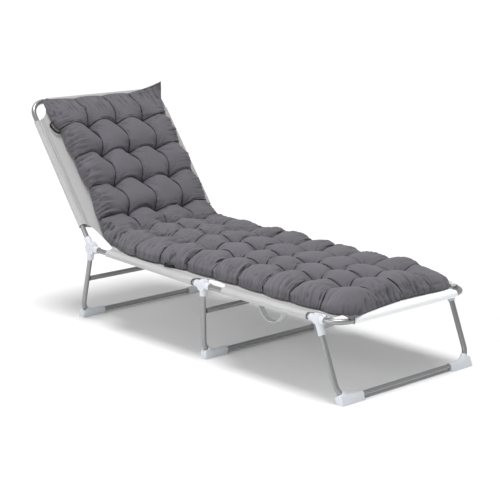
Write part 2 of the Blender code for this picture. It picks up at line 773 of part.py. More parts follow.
def make_loops(parts):
    """Elastic loops sewn to the near seam, standing out over the sling."""
    steps = 12
    for name, middle, base, reach in LOOP_TABLE:
        path, wide = [], []
        for step in range(steps + 1):
            angle = math.pi * step / steps
            distance = middle - base / 2 * math.cos(angle) * (1 + 0.25 * math.sin(angle))
            edge = near_seam(middle - base / 2 * math.cos(angle)) - LOOP_EDGE_GAP
            y = min(edge, near_seam(distance) - LOOP_EDGE_GAP) - reach * math.sin(angle) ** 0.8
            lift = CUSHION_LIFT + LOOP_BAND_WIDTH / 2 + 0.0015
            path.append(SLING_LINE.at(distance, lift, y))
            wide.append((SLING_LINE.at(distance, lift + 1, y) - path[-1]).normalized())
        ribbon(name, path, wide, LOOP_BAND_WIDTH, LOOP_BAND_THICKNESS, parts, "elastic")


def make_strap(parts):
    """Carrying strap that hangs in a loop from the underside of the sling."""
    start, end = STRAP_SPAN
    steps = 14
    top = MIDDLE_HINGE.z - 0.002 + SLEEVE_RADIUS - SLING_THICKNESS / 2 - 0.001
    path = []
    for step in range(steps + 1):
        share = step / steps
        x = start + (end - start) * share
        depth = 1 - abs(2 * share - 1) ** 2.6
        path.append(Vector((x, STRAP_Y, top - (top - STRAP_BOTTOM) * depth)))
    wide = [Vector((0, 1, 0))] * len(path)
    return ribbon("carry_strap", path, wide, STRAP_WIDTH, STRAP_THICKNESS, parts, "strap_webbing")


def main():
    clear_scene()
    parts = new_collection("Sun lounger cushion")
    cutters = new_collection("Cutters")
    bores = make_frame(parts, cutters)
    make_fittings(bores, parts, cutters)
    make_floor_caps(bores, parts, cutters)
    make_sling(parts, cutters)
    make_foot_sleeve(parts)
    make_cushion(parts)
    make_loops(parts)
    make_strap(parts)


main()
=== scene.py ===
"""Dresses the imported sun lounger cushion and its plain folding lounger, in metres, +Z up.

+X runs from the head to the foot of the lounger, -Y is the side with the elastic loops.
"""
import json
import math
import random

import bmesh
import bpy
import numpy
from bpy.props import FloatProperty, FloatVectorProperty, IntProperty, PointerProperty
from bpy.types import Operator, Panel, PropertyGroup
from mathutils import Matrix, Vector, noise

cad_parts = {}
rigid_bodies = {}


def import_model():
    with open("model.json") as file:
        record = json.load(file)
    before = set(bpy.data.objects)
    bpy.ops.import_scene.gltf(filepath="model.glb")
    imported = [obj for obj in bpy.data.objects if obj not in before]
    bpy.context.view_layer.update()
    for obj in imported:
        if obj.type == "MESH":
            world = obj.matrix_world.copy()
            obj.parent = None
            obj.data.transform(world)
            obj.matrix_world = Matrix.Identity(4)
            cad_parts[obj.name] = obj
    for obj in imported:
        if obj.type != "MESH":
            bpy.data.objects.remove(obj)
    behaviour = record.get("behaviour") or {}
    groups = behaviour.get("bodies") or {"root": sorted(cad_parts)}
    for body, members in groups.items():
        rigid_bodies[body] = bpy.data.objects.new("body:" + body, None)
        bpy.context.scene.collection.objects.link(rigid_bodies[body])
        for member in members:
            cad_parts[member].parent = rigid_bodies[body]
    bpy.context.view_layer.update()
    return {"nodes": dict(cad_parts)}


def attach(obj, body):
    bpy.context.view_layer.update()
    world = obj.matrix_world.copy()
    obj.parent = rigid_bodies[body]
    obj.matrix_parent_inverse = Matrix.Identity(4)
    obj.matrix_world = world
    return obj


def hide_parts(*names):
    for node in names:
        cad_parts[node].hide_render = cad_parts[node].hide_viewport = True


bl_info = {
    "name": "Sun lounger cushion",
    "version": (1, 0, 0),
    "blender": (4, 5, 0),
    "location": "View3D > Sidebar > Lounger",
    "description": "Builds a tufted cushion on its folding lounger, piece by piece",
    "category": "Object",
}

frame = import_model()

# Lounger, measured between the centre lines of its tubes
HALF_RAIL = 0.300
TUBE_RADIUS = 0.009
MIDDLE_HINGE = Vector((0.182, 0, 0.254))
HEAD_HINGE = MIDDLE_HINGE + Vector((-0.630, 0, 0.019))
FOOT_END = MIDDLE_HINGE + Vector((0.625, 0, -0.003))
FOOT_LEG_TOP = FOOT_END - Vector((0.085, 0, 0))
BACK_ANGLE = math.radians(52.7)
BACK_LENGTH = 0.622
BACK_DIRECTION = Vector((-math.cos(BACK_ANGLE), 0, math.sin(BACK_ANGLE)))
HEAD_BAR = HEAD_HINGE + BACK_LENGTH * BACK_DIRECTION
FRAME_CORNER_RADIUS = 0.060
LEG_BEND_RADIUS = 0.050
TUBE_END_SETBACK = 0.0165
FOOT_LEG_SETBACK = 0.0175
FLOOR_BAR_HEIGHT = 0.014
FIT_GAP = 0.0004
BEND_STEPS = 12
TUBE_SIDES = 24

# Legs: name, top, how far the foot is from it along X, how far down its cross bar is, setback
LEG_TABLE = (
    ("head", HEAD_HINGE, -0.071, 0.464, TUBE_END_SETBACK),
    ("middle", MIDDLE_HINGE, 0.001, 0.373, TUBE_END_SETBACK),
    ("foot", FOOT_LEG_TOP, 0.095, None, FOOT_LEG_SETBACK),
)

# Sling, wrapped round the side rails and the head bar
SLING_THICKNESS = 0.0015
SLEEVE_RADIUS = 0.0114
SLEEVE_TURN = math.radians(215)
SLEEVE_STEPS = 14
FLAT_STEPS = 26
ROW_SPACING = 0.022
HEM_WIDTH = 0.030
HEM_DROP = 0.0034
SLING_BEND_RADIUS = 0.160
SLING_MIDDLE_RADIUS = 1.2
SLEEVE_CORNER_GAP = 0.078
FOOT_SLEEVE_HALF = 0.236
FOOT_SLEEVE_HEM = 0.034
FOOT_SLEEVE_TURN = math.radians(250)

# Cushion, measured along the sling from the head bar and across it
TUFT_CENTRE_Y = 0.010
CUSHION_LIFT = SLEEVE_RADIUS + SLING_THICKNESS / 2 + 0.002
HEAD_EDGE = 0.004
HEAD_MARGIN = 0.146
FOOT_MARGIN = 0.165
TUFT_PITCH_ALONG = 0.129
TUFT_ROWS = 13
TUFT_PITCH_ACROSS = 0.128
TUFT_COLUMNS = 3
SEAM_HEIGHT = 0.004
SCALLOP_DEPTH = 0.009
HEAD_FLATTENING = 0.35
HEAD_SCALLOP = 0.006
FOOT_BOW = 0.021
FOOT_HALF_WIDTH = 0.27
SLIDE_PER_WIDTH = 0.22
SLIDE_START = (0.560, 0.700)
SLIDE_END = (1.700, 1.863)
SLIDE_LEFT_AT_END = 0.40
NEAR_SEAM_Y = -0.270
MOVE_CAP = 0.024
CORNER_POWER = 1.9
VALLEY_BOW = 0.011
SEAT_EVENING = 0.65
SIDE_FULLNESS = 3.4
FOOT_FULLNESS = 2.4
# How hollow the mesh must be for the painted shade in its hollows to be full
HOLLOW_DEPTH = 0.0015

# Side seams of the cushion: distance from the head bar, y of the near seam, y of the far seam
SIDE_TABLE = (
    (0.004, -0.256, 0.284),
    (0.100, -0.254, 0.272),
    (0.190, -0.238, 0.267),
    (0.430, -0.227, 0.267),
    (0.560, -0.244, 0.270),
    (0.680, -0.258, 0.272),
    (0.760, -0.279, 0.276),
    (0.840, -0.293, 0.282),
    (0.950, -0.288, 0.283),
    (1.060, -0.272, 0.280),
    (1.200, -0.263, 0.278),
    (1.320, -0.262, 0.278),
    (1.600, -0.277, 0.282),
    (1.800, -0.273, 0.280),
    (1.863, -0.254, 0.257),
)

# How full the cushion is: distance from the head bar, share of its height over the tufts
FULLNESS_TABLE = (
    (0.000, 1.00),
    (0.560, 1.00),
    (0.700, 0.80),
    (0.900, 0.82),
    (1.060, 1.00),
    (1.900, 1.00),
)

# Corners: side, at the foot, extra width, extra length, lift off the sling, how sharply it sets
# in, share of its height that it loses
CORNER_TABLE = (
    (-1, False, 0.000, 0.004, 0.002, 2, 0.0),
    (1, False, 0.004, 0.008, 0.048, 2, 0.0),
    (-1, True, 0.005, 0.000, -0.010, 4, 0.0),
    (1, True, 0.000, -0.022, 0.000, 2, 0.80),
)

# Elastic loops on the near edge: name, middle along the sling, width at the seam, reach outwards
LOOP_TABLE = (
    ("elastic_loop_head", 0.128, 0.044, 0.016),
    ("elastic_loop_seat", 1.035, 0.038, 0.014),
)
LOOP_BAND_WIDTH = 0.010
LOOP_BAND_THICKNESS = 0.0016
LOOP_EDGE_GAP = 0.0012

# Carrying strap hanging under the foot section
STRAP_SPAN = (0.398, 0.546)
STRAP_Y = -0.254
STRAP_BOTTOM = 0.182
STRAP_WIDTH = 0.020
STRAP_THICKNESS = 0.0018

# Camera, fitted to the photograph: place, turn, downward tilt, roll, lens
CAMERA_PLACE = (3.6124, -3.1567, 1.3945)
CAMERA_YAW = math.radians(48.2238)
CAMERA_PITCH = math.radians(12.9039)
CAMERA_ROLL = math.radians(-0.1543)
CAMERA_LENS = 100.288
SENSOR_WIDTH = 36.0


class CushionSettings(PropertyGroup):
    """Sizes and colours of the cushion and its elastic loops."""

    tuft_height: FloatProperty(
        name="Tuft height", description="Height of the cloth over the sling at a tuft",
        default=0.013, min=0.005, unit='LENGTH')
    valley_rise: FloatProperty(
        name="Valley rise", description="How much higher a valley is halfway between two tufts",
        default=0.027, min=0.0, unit='LENGTH')
    crown_rise: FloatProperty(
        name="Crown rise", description="How much a bulge stands over the valleys round it",
        default=0.016, min=0.0, unit='LENGTH')
    gather_depth: FloatProperty(
        name="Gather depth", description="Depth of the gathers at the seams",
        default=0.0048, min=0.0, unit='LENGTH')
    uneven_filling: FloatProperty(
        name="Uneven filling", description="How much the bulges differ in height",
        default=0.16, min=0.0, max=0.5, subtype='FACTOR')
    tuft_wander: FloatProperty(
        name="Tuft wander", description="How far the tufting strays from its grid",
        default=0.005, min=0.0, unit='LENGTH')
    pressure: FloatProperty(
        name="Filling pressure", description="Pressure of the filling on the cover",
        default=4.0, min=0.0, unit='NONE')
    ease: FloatProperty(
        name="Ease", description="How much wider the cover is cut than its flat size",
        default=0.07, min=0.0, max=0.3, subtype='FACTOR')
    steps_across: IntProperty(
        name="Steps across", description="Mesh steps across one bulge, an even number",
        default=26, min=12, max=40)
    steps_along: IntProperty(
        name="Steps along", description="Mesh steps along one bulge, an even number",
        default=40, min=12, max=60)
    cloth: FloatVectorProperty(
        name="Cloth", description="Colour of the cushion's cover", subtype='COLOR',
        default=(0.130, 0.125, 0.140), min=0.0, max=1.0)
    elastic: FloatVectorProperty(
        name="Elastic", description="Colour of the loops", subtype='COLOR',
        default=(0.018, 0.018, 0.020), min=0.0, max=1.0)


class LoungerSettings(PropertyGroup):
    """Colours of the lounger's frame and cloth."""

    tube: FloatVectorProperty(
        name="Tubes", description="Powder coat of the tubes", subtype='COLOR',
        default=(0.31, 0.312, 0.318), min=0.0, max=1.0)
    fitting: FloatVectorProperty(
        name="Fittings", description="Moulded plastic of hinges and shoes", subtype='COLOR',
        default=(0.62, 0.64, 0.68), min=0.0, max=1.0)
    sling: FloatVectorProperty(
        name="Sling", description="Woven sheet of the lounger", subtype='COLOR',
        default=(0.465, 0.465, 0.470), min=0.0, max=1.0)
    sleeve: FloatVectorProperty(
        name="End sleeve", description="White sleeve round the end bar", subtype='COLOR',
        default=(0.93, 0.95, 0.96), min=0.0, max=1.0)
    strap: FloatVectorProperty(
        name="Strap", description="Webbing of the carrying strap", subtype='COLOR',
        default=(0.62, 0.625, 0.635), min=0.0, max=1.0)


class StageSettings(PropertyGroup):
    """Light and floor of the studio."""

    floor: FloatVectorProperty(
        name="Floor", description="Colour of the studio floor", subtype='COLOR',
        default=(0.86, 0.86, 0.86), min=0.0, max=1.0)
    sky: FloatProperty(
        name="Surround light", description="Strength of the even light from all sides",
        default=0.52, min=0.0)
    overhead: FloatProperty(
        name="Overhead light", description="Strength of the soft light straight above",
        default=2.20, min=0.0)
    overhead_spread: FloatProperty(
        name="Overhead spread", description="Angle over which the overhead light is spread",
        default=math.radians(24), min=0.0, subtype='ANGLE')
    side: FloatProperty(
        name="Side light", description="Power of the large light on the near side",
        default=27.0, min=0.0, unit='POWER')


class BentLine:
    """A line in the XZ plane: straight runs joined by arcs that curl upwards."""

    def __init__(self, corners, radii):
        self.pieces = []
        headings = [math.atan2(b.z - a.z, b.x - a.x) for a, b in zip(corners, corners[1:])]
        point, done = corners[0], 0.0
        for index, (corner, radius) in enumerate(zip(corners[1:], list(radii) + [0.0])):
            heading = headings[index]
            forward = Vector((math.cos(heading), 0, math.sin(heading)))
            turn = headings[index + 1] - heading if index + 1 < len(headings) else 0.0
            tangent = radius * math.tan(turn / 2)
            run = (corner - point).length - tangent
            self.pieces.append((done, point, heading, 0.0))
            done += run
            point = point + forward * run
            if turn:
                self.pieces.append((done, point, heading, radius))
                centre = point + radius * self.up(heading)
                point = centre - radius * self.up(heading + turn)
                done += radius * turn
        self.length = done

    @staticmethod
    def up(heading):
        return Vector((-math.sin(heading), 0, math.cos(heading)))

    def at(self, along, lift=0.0, y=0.0):
        """The point at a distance along the line, lifted off it and moved across."""
        start, point, heading, radius = [p for p in self.pieces if p[0] <= max(along, 0.0)][-1]
        if radius:
            centre = point + radius * self.up(heading)
            place = centre - (radius - lift) * self.up(heading + (along - start) / radius)
        else:
            forward = Vector((math.cos(heading), 0, math.sin(heading)))
            place = point + forward * (along - start) + lift * self.up(heading)
        return Vector((place.x, y, place.z))


SLING_LINE = BentLine(
    (HEAD_BAR, HEAD_HINGE, MIDDLE_HINGE, FOOT_END), (SLING_BEND_RADIUS, SLING_MIDDLE_RADIUS))
HEAD_BEND_AT = BACK_LENGTH
MIDDLE_AT = SLING_LINE.length - (FOOT_END - MIDDLE_HINGE).length
FOOT_LEG_AT = SLING_LINE.length - 0.085

# Stretches along the sling where its side sleeves are left off
SLEEVE_OPENINGS = (
    (HEAD_BEND_AT - 0.0785, HEAD_BEND_AT + 0.077),
    (MIDDLE_AT - 0.044, MIDDLE_AT + 0.090),
    (FOOT_LEG_AT - 0.042, SLING_LINE.length),
)

# Notches in the sling: centre of the ellipsoid that cuts it, half sizes along X, Y and Z
NOTCH_TABLE = (
    (SLING_LINE.at(0.004, SLEEVE_RADIUS), (0.080, 0.062, 0.080)),
    (HEAD_HINGE + Vector((0.012, 0, 0.016)), (0.090, 0.056, 0.090)),
    (MIDDLE_HINGE + Vector((0.026, 0, 0)), (0.078, 0.045, 0.050)),
    (FOOT_LEG_TOP, (0.039, 0.025, 0.044)),
    (FOOT_END + Vector((0.004, 0, 0)), (0.046, 0.050, 0.050)),
)
NOTCH_OUTSET = 0.004


# Small helpers

def deselect():
    if bpy.context.mode != 'OBJECT':
        bpy.ops.object.mode_set(mode='OBJECT')
    bpy.ops.object.select_all(action='DESELECT')


def choose(thing):
    """Make one object the only one that is selected."""
    deselect()
    thing.select_set(True)
    bpy.context.view_layer.objects.active = thing


def settle(thing):
    """Put an object's place, turn and scale into its mesh."""
    choose(thing)
    bpy.ops.object.transform_apply(location=True, rotation=True, scale=True)


def new_primitive(name):
    """Name the primitive that was just added and settle it."""
    thing = bpy.context.object
    thing.name = name
    thing.data.name = name
    settle(thing)
    return thing


def apply_modifiers(thing):
    choose(thing)
    for modifier in list(thing.modifiers):
        bpy.ops.object.modifier_apply(modifier=modifier.name)


def smooth_by_angle(thing, degrees):
    choose(thing)
    bpy.ops.object.shade_smooth_by_angle(angle=math.radians(degrees))


def face_outwards(thing):
    """Merge doubles and turn all faces outwards."""
    choose(thing)
    bpy.ops.object.mode_set(mode='EDIT')
    bpy.ops.mesh.select_all(action='SELECT')
    bpy.ops.mesh.remove_doubles(threshold=0.00001)
    bpy.ops.mesh.normals_make_consistent(inside=False)
    bpy.ops.object.mode_set(mode='OBJECT')


def add_solidify(thing, thickness):
    modifier = thing.modifiers.new("thickness", 'SOLIDIFY')
    modifier.thickness = thickness
    modifier.offset = 0.0
    modifier.use_even_offset = True
    return modifier


def finish_piece(piece, material, slot, *nodes):
    """Give a piece its material, and let it ride and stand for its CAD nodes."""
    piece.data.materials.clear()
    piece.data.materials.append(material)
    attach(piece, "root")
    if nodes:
        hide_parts(*nodes)
    return piece


def sheet_object(name, rows, uv_rows):
    """A mesh of quads from rows of points, with the flat places of its points as its UV map."""
    bm = bmesh.new()
    layer = bm.loops.layers.uv.new("flat")
    grid = [[point if point is None else bm.verts.new(point) for point in row] for row in rows]
    for row in range(len(rows) - 1):
        for column in range(len(rows[0]) - 1):
            ring = ((row, column), (row, column + 1), (row + 1, column + 1), (row + 1, column))
            corners = [grid[r][c] for r, c in ring]
            if None in corners:
                continue
            face = bm.faces.new(corners)
            face.smooth = True
            for loop, (r, c) in zip(face.loops, ring):
                loop[layer].uv = uv_rows[r][c]
    bmesh.ops.recalc_face_normals(bm, faces=bm.faces)
    mesh = bpy.data.meshes.new(name)
    bm.to_mesh(mesh)
    bm.free()
    thing = bpy.data.objects.new(name, mesh)
    bpy.context.scene.collection.objects.link(thing)
    return thing


def smooth_step(value, low, high):
    share = min(1.0, max(0.0, (value - low) / (high - low)))
    return share * share * (3 - 2 * share)


def read_table(table, along, column):
    """A value read from a table by its distance, with smooth steps between the rows."""
    for before, after in zip(table, table[1:]):
        if along <= after[0]:
            share = smooth_step(along, before[0], after[0])
            return before[column] + (after[column] - before[column]) * share
    return table[-1][column]


# Shader groups and materials

def new_group(name, inputs, outputs):
    """An empty shader group: inputs are name, type and default, outputs are name and type."""
    group = bpy.data.node_groups.new(name, 'ShaderNodeTree')
    for label, kind, default in inputs:
        socket = group.interface.new_socket(name=label, in_out='INPUT', socket_type=kind)
        if default is not None:
            socket.default_value = default
    for label, kind in outputs:
        group.interface.new_socket(name=label, in_out='OUTPUT', socket_type=kind)
    return group, group.nodes.new('NodeGroupInput'), group.nodes.new('NodeGroupOutput')


def add_node(tree, kind, values=None, **settings):
    """A node with its settings made, and its sockets set to values or linked to other sockets."""
    node = tree.nodes.new(kind)
    for key, value in settings.items():
        setattr(node, key, value)
    for key, value in (values or {}).items():
        if isinstance(value, bpy.types.NodeSocket):
            tree.links.new(value, node.inputs[key])
        else:
            node.inputs[key].default_value = value
    return node


def maths(tree, operation, first, second=0.0, clamp=False):
    node = add_node(tree, 'ShaderNodeMath', {0: first, 1: second}, operation=operation)
    node.use_clamp = clamp
    return node.outputs[0]


def map_range(tree, value, low, high, new_low=0.0, new_high=1.0):
    values = {"Value": value, "From Min": low, "From Max": high, "To Min": new_low, "To Max": new_high}
    return add_node(tree, 'ShaderNodeMapRange', values).outputs["Result"]


def make_weave_group():
    """Plain weave: threads over and under each other, at a number of threads per metre."""
    group, source, result = new_group(
        "plain_weave",
        [("Vector", 'NodeSocketVector', None), ("Threads", 'NodeSocketFloat', 900.0),
         ("Slub", 'NodeSocketFloat', 0.3)],
        [("Height", 'NodeSocketFloat'), ("Shade", 'NodeSocketFloat')])
    parts = add_node(group, 'ShaderNodeSeparateXYZ', {0: source.outputs["Vector"]})
    turns = maths(group, 'MULTIPLY', source.outputs["Threads"], math.pi)
    waves = []
    for axis in ("X", "Y"):
        waves.append(maths(group, 'SINE', maths(group, 'MULTIPLY', parts.outputs[axis], turns)))
    over = maths(group, 'MULTIPLY', waves[0], waves[1])
    height = maths(group, 'MULTIPLY_ADD', over, 0.5)
    height.node.inputs[2].default_value = 0.5
    slub = add_node(group, 'ShaderNodeTexNoise', {
        "Vector": source.outputs["Vector"], "Scale": 260.0, "Detail": 2.0})
    # Shade: partly painted shade from the weave height, darker where the threads dip under, partly
    # slub noise of the yarn
    shade = add_node(group, 'ShaderNodeMix', {
        "Factor": source.outputs["Slub"], 2: height, 3: slub.outputs["Fac"]}, data_type='FLOAT')
    group.links.new(height, result.inputs["Height"])
    group.links.new(shade.outputs[0], result.inputs["Shade"])
    return group


def make_variation_group():
    """Slow changes of shade over a surface, as dye, light and handling leave."""
    group, source, result = new_group(
        "shade_variation",
        [("Vector", 'NodeSocketVector', None), ("Color", 'NodeSocketColor', (0.5, 0.5, 0.5, 1)),
         ("Size", 'NodeSocketFloat', 6.0), ("Amount", 'NodeSocketFloat', 0.1)],
        [("Color", 'NodeSocketColor'), ("Mask", 'NodeSocketFloat')])
    cloud = add_node(group, 'ShaderNodeTexNoise', {
        "Vector": source.outputs["Vector"], "Scale": source.outputs["Size"], "Detail": 5.0,
        "Roughness": 0.6})
    spread = map_range(group, cloud.outputs["Fac"], 0.3, 0.7)
    low = maths(group, 'SUBTRACT', 1.0, source.outputs["Amount"])
    high = maths(group, 'ADD', 1.0, source.outputs["Amount"])
    gain = add_node(group, 'ShaderNodeMapRange', {"Value": spread, "To Min": low, "To Max": high})
    tone = add_node(group, 'ShaderNodeVectorMath', {
        0: source.outputs["Color"], "Scale": gain.outputs["Result"]}, operation='SCALE')
    group.links.new(tone.outputs["Vector"], result.inputs["Color"])
    group.links.new(spread, result.inputs["Mask"])
    return group


def make_wear_group():
    """Edge wear: a mask on edges and corners, broken up by noise."""
    group, source, result = new_group(
        "edge_wear",
        [("Vector", 'NodeSocketVector', None), ("Scale", 'NodeSocketFloat', 60.0),
         ("Amount", 'NodeSocketFloat', 0.5)],
        [("Mask", 'NodeSocketFloat')])
    geometry = group.nodes.new('ShaderNodeNewGeometry')
    edges = map_range(group, geometry.outputs["Pointiness"], 0.52, 0.60)
    speck = add_node(group, 'ShaderNodeTexNoise', {
        "Vector": source.outputs["Vector"], "Scale": source.outputs["Scale"], "Detail": 6.0})
    broken = map_range(group, speck.outputs["Fac"], 0.42, 0.62)
    mask = maths(group, 'MULTIPLY', maths(group, 'MULTIPLY', edges, broken), source.outputs["Amount"])
    group.links.new(mask, result.inputs["Mask"])
    return group


def make_grain_group():
    """Fine orange-peel grain of powder coat and moulded plastic."""
    group, source, result = new_group(
        "fine_grain",
        [("Vector", 'NodeSocketVector', None), ("Scale", 'NodeSocketFloat', 700.0)],
        [("Height", 'NodeSocketFloat')])
    peel = add_node(group, 'ShaderNodeTexNoise', {
        "Vector": source.outputs["Vector"], "Scale": source.outputs["Scale"], "Detail": 3.0})
    group.links.new(peel.outputs["Fac"], result.inputs["Height"])
    return group


def shared_group(name):
    """A shader group that several materials use, made when it is first asked for."""
    makers = {
        "plain_weave": make_weave_group,
        "shade_variation": make_variation_group,
        "edge_wear": make_wear_group,
        "fine_grain": make_grain_group,
    }
    return bpy.data.node_groups.get(name) or makers[name]()


def place_group(tree, name, values):
    node = tree.nodes.new('ShaderNodeGroup')
    node.node_tree = shared_group(name)
    for key, value in values.items():
        if isinstance(value, bpy.types.NodeSocket):
            tree.links.new(value, node.inputs[key])
        else:
            node.inputs[key].default_value = value
    return node.outputs


def new_material(name, **constants):
    """A material and its shader, with the constants set on the shader's own sockets."""
    made = bpy.data.materials.new(name)
    made.use_nodes = True
    shader = made.node_tree.nodes["Principled BSDF"]
    for key, value in constants.items():
        shader.inputs[key.replace("_", " ")].default_value = value
    return made, made.node_tree, shader


def object_place(tree):
    return tree.nodes.new('ShaderNodeTexCoord').outputs["Object"]


def flat_place(tree):
    return add_node(tree, 'ShaderNodeUVMap', uv_map="flat").outputs["UV"]


def add_bump(tree, height, strength, distance, before=None):
    values = {"Height": height, "Strength": strength, "Distance": distance}
    if before is not None:
        values["Normal"] = before
    return add_node(tree, 'ShaderNodeBump', values).outputs["Normal"]


def rgba(colour):
    return (*colour, 1.0)


def darker(tree, colour, mask, dark):
    """Mix a colour towards a dark one where a mask is high."""
    node = add_node(tree, 'ShaderNodeMix', data_type='RGBA')
    tree.links.new(mask, node.inputs["Factor"])
    tree.links.new(colour, node.inputs[6])
    node.inputs[7].default_value = dark
    return node.outputs[2]


def cushion_material(name, colour):
    """Fine woven polyester: soft sheen, painted shade in the creases, at the tufts and in the hollows,
    with a crumple in its bump.
    """
    made, tree, shader = new_material(
        name, Sheen_Weight=0.12, Sheen_Roughness=0.5, Specular_IOR_Level=0.25)
    flat = flat_place(tree)
    weave = place_group(tree, "plain_weave", {"Vector": flat, "Threads": 1100.0, "Slub": 0.6})
    tone = place_group(tree, "shade_variation", {
        "Vector": object_place(tree), "Color": rgba(colour), "Size": 7.0, "Amount": 0.05})
    # Painted shade: the base colour falls towards a fifth of the cloth colour along the valley lines,
    # at the tufts and in the hollows
    painted_crease_shade = add_node(tree, 'ShaderNodeAttribute', attribute_name="painted_crease_shade")
    base = darker(tree, tone["Color"], painted_crease_shade.outputs["Fac"], rgba([c * 0.20 for c in colour]))
    # Partly painted shade between the threads, partly slub of the yarn
    slub_and_weave_shade = map_range(tree, weave["Shade"], 0.0, 1.0, 0.93, 1.05)
    tinted = add_node(tree, 'ShaderNodeVectorMath', {0: base, "Scale": slub_and_weave_shade}, operation='SCALE')
    tree.links.new(tinted.outputs["Vector"], shader.inputs["Base Color"])
    tree.links.new(map_range(tree, weave["Shade"], 0.0, 1.0, 0.95, 0.82), shader.inputs["Roughness"])
    stretched = add_node(tree, 'ShaderNodeMapping', {"Vector": flat, "Scale": (60.0, 60.0, 1.0)})
    crumple = add_node(tree, 'ShaderNodeTexNoise', {
        "Vector": stretched.outputs["Vector"], "Scale": 1.0, "Detail": 4.0, "Roughness": 0.55,
        "Distortion": 0.6})
    height = maths(tree, 'MULTIPLY', crumple.outputs["Fac"], 0.6)
    for name, along_seam in (("side_gathers", (12.0, 95.0, 1.0)), ("end_gathers", (95.0, 12.0, 1.0))):
        drawn = add_node(tree, 'ShaderNodeMapping', {"Vector": flat, "Scale": along_seam})
        folds = add_node(tree, 'ShaderNodeTexNoise', {
            "Vector": drawn.outputs["Vector"], "Scale": 1.0, "Detail": 3.0, "Roughness": 0.5})
        where = add_node(tree, 'ShaderNodeAttribute', attribute_name=name)
        held = maths(tree, 'MULTIPLY', folds.outputs["Fac"], where.outputs["Fac"])
        height = maths(tree, 'ADD', height, held)
    rough = add_bump(tree, height, 0.35, 0.0040)
    tree.links.new(add_bump(tree, weave["Height"], 0.30, 0.0003, rough), shader.inputs["Normal"])
    return made


def sling_material(name, colour, threads, stitch_at):
    """Woven sling cloth with two rows of stitching beside each sleeve."""
    made, tree, shader = new_material(name, Specular_IOR_Level=0.35)
    flat = flat_place(tree)
    weave = place_group(tree, "plain_weave", {"Vector": flat, "Threads": threads, "Slub": 0.4})
    tone = place_group(tree, "shade_variation", {
        "Vector": flat, "Color": rgba(colour), "Size": 5.0, "Amount": 0.03})
    parts = add_node(tree, 'ShaderNodeSeparateXYZ', {0: flat})
    beside = maths(tree, 'ABSOLUTE', parts.outputs["X"])
    gap = maths(tree, 'ABSOLUTE', maths(tree, 'SUBTRACT', beside, stitch_at))
    row = map_range(tree, gap, 0.0006, 0.0012, 1.0, 0.0)
    dashes = maths(tree, 'SINE', maths(tree, 'MULTIPLY', parts.outputs["Y"], 1400.0))
    stitch = maths(tree, 'MULTIPLY', row, map_range(tree, dashes, -0.5, 0.2))
    # Partly painted shade between the threads, partly slub of the yarn
    slub_and_weave_shade = map_range(tree, weave["Shade"], 0.0, 1.0, 0.90, 1.06)
    tinted = add_node(tree, 'ShaderNodeVectorMath', {
        0: tone["Color"], "Scale": slub_and_weave_shade}, operation='SCALE')
    stitched = darker(
        tree, tinted.outputs["Vector"], maths(tree, 'MULTIPLY', stitch, 0.5),
        rgba([c * 0.55 for c in colour]))
    tree.links.new(stitched, shader.inputs["Base Color"])
    tree.links.new(map_range(tree, weave["Height"], 0.0, 1.0, 0.85, 0.68), shader.inputs["Roughness"])
    drawn = add_node(tree, 'ShaderNodeMapping', {"Vector": flat, "Scale": (110.0, 9.0, 1.0)})
    folds = add_node(tree, 'ShaderNodeTexNoise', {
        "Vector": drawn.outputs["Vector"], "Scale": 1.0, "Detail": 2.0})
    on_sleeve = map_range(tree, beside, stitch_at, stitch_at + 0.012)
    pulled = add_bump(tree, maths(tree, 'MULTIPLY', folds.outputs["Fac"], on_sleeve), 0.9, 0.0080)
    hemmed = add_bump(tree, stitch, 0.5, 0.0008, pulled)
    tree.links.new(add_bump(tree, weave["Height"], 0.5, 0.0004, hemmed), shader.inputs["Normal"])
    return made


def coated_material(name, colour, metallic, roughness, grain, worn):
    """Powder coat or moulded plastic: fine grain, slow shade changes and paler worn edges."""
    made, tree, shader = new_material(
        name, Specular_IOR_Level=0.5, Metallic=metallic, Roughness=roughness)
    place = object_place(tree)
    tone = place_group(tree, "shade_variation", {
        "Vector": place, "Color": rgba(colour), "Size": 9.0, "Amount": 0.04})
    wear = place_group(tree, "edge_wear", {"Vector": place, "Scale": 90.0, "Amount": worn})
    worn_colour = rgba([min(1.0, c * 1.25) for c in colour])
    base = darker(tree, tone["Color"], wear["Mask"], worn_colour)
    tree.links.new(base, shader.inputs["Base Color"])
    peel = place_group(tree, "fine_grain", {"Vector": place, "Scale": grain})
    tree.links.new(add_bump(tree, peel["Height"], 0.04, 0.0002), shader.inputs["Normal"])
    return made


def webbing_material(name, colour, ribs, roughness):
    """Narrow woven band with ribs along it."""
    made, tree, shader = new_material(name, Specular_IOR_Level=0.3)
    flat = flat_place(tree)
    parts = add_node(tree, 'ShaderNodeSeparateXYZ', {0: flat})
    rib = maths(tree, 'SINE', maths(tree, 'MULTIPLY', parts.outputs["X"], ribs))
    cross = maths(tree, 'SINE', maths(tree, 'MULTIPLY', parts.outputs["Y"], ribs * 0.6))
    height = map_range(tree, maths(tree, 'MULTIPLY', rib, cross), -1.0, 1.0)
    tone = place_group(tree, "shade_variation", {
        "Vector": flat, "Color": rgba(colour), "Size": 60.0, "Amount": 0.08})
    # Painted shade: the colour is darker in the grooves between the ribs
    tinted = add_node(tree, 'ShaderNodeVectorMath', {
        0: tone["Color"], "Scale": map_range(tree, height, 0.0, 1.0, 0.75, 1.1)}, operation='SCALE')
    tree.links.new(tinted.outputs["Vector"], shader.inputs["Base Color"])
    tree.links.new(
        map_range(tree, height, 0.0, 1.0, roughness + 0.08, roughness - 0.05),
        shader.inputs["Roughness"])
    tree.links.new(add_bump(tree, height, 0.6, 0.0005), shader.inputs["Normal"])
    return made


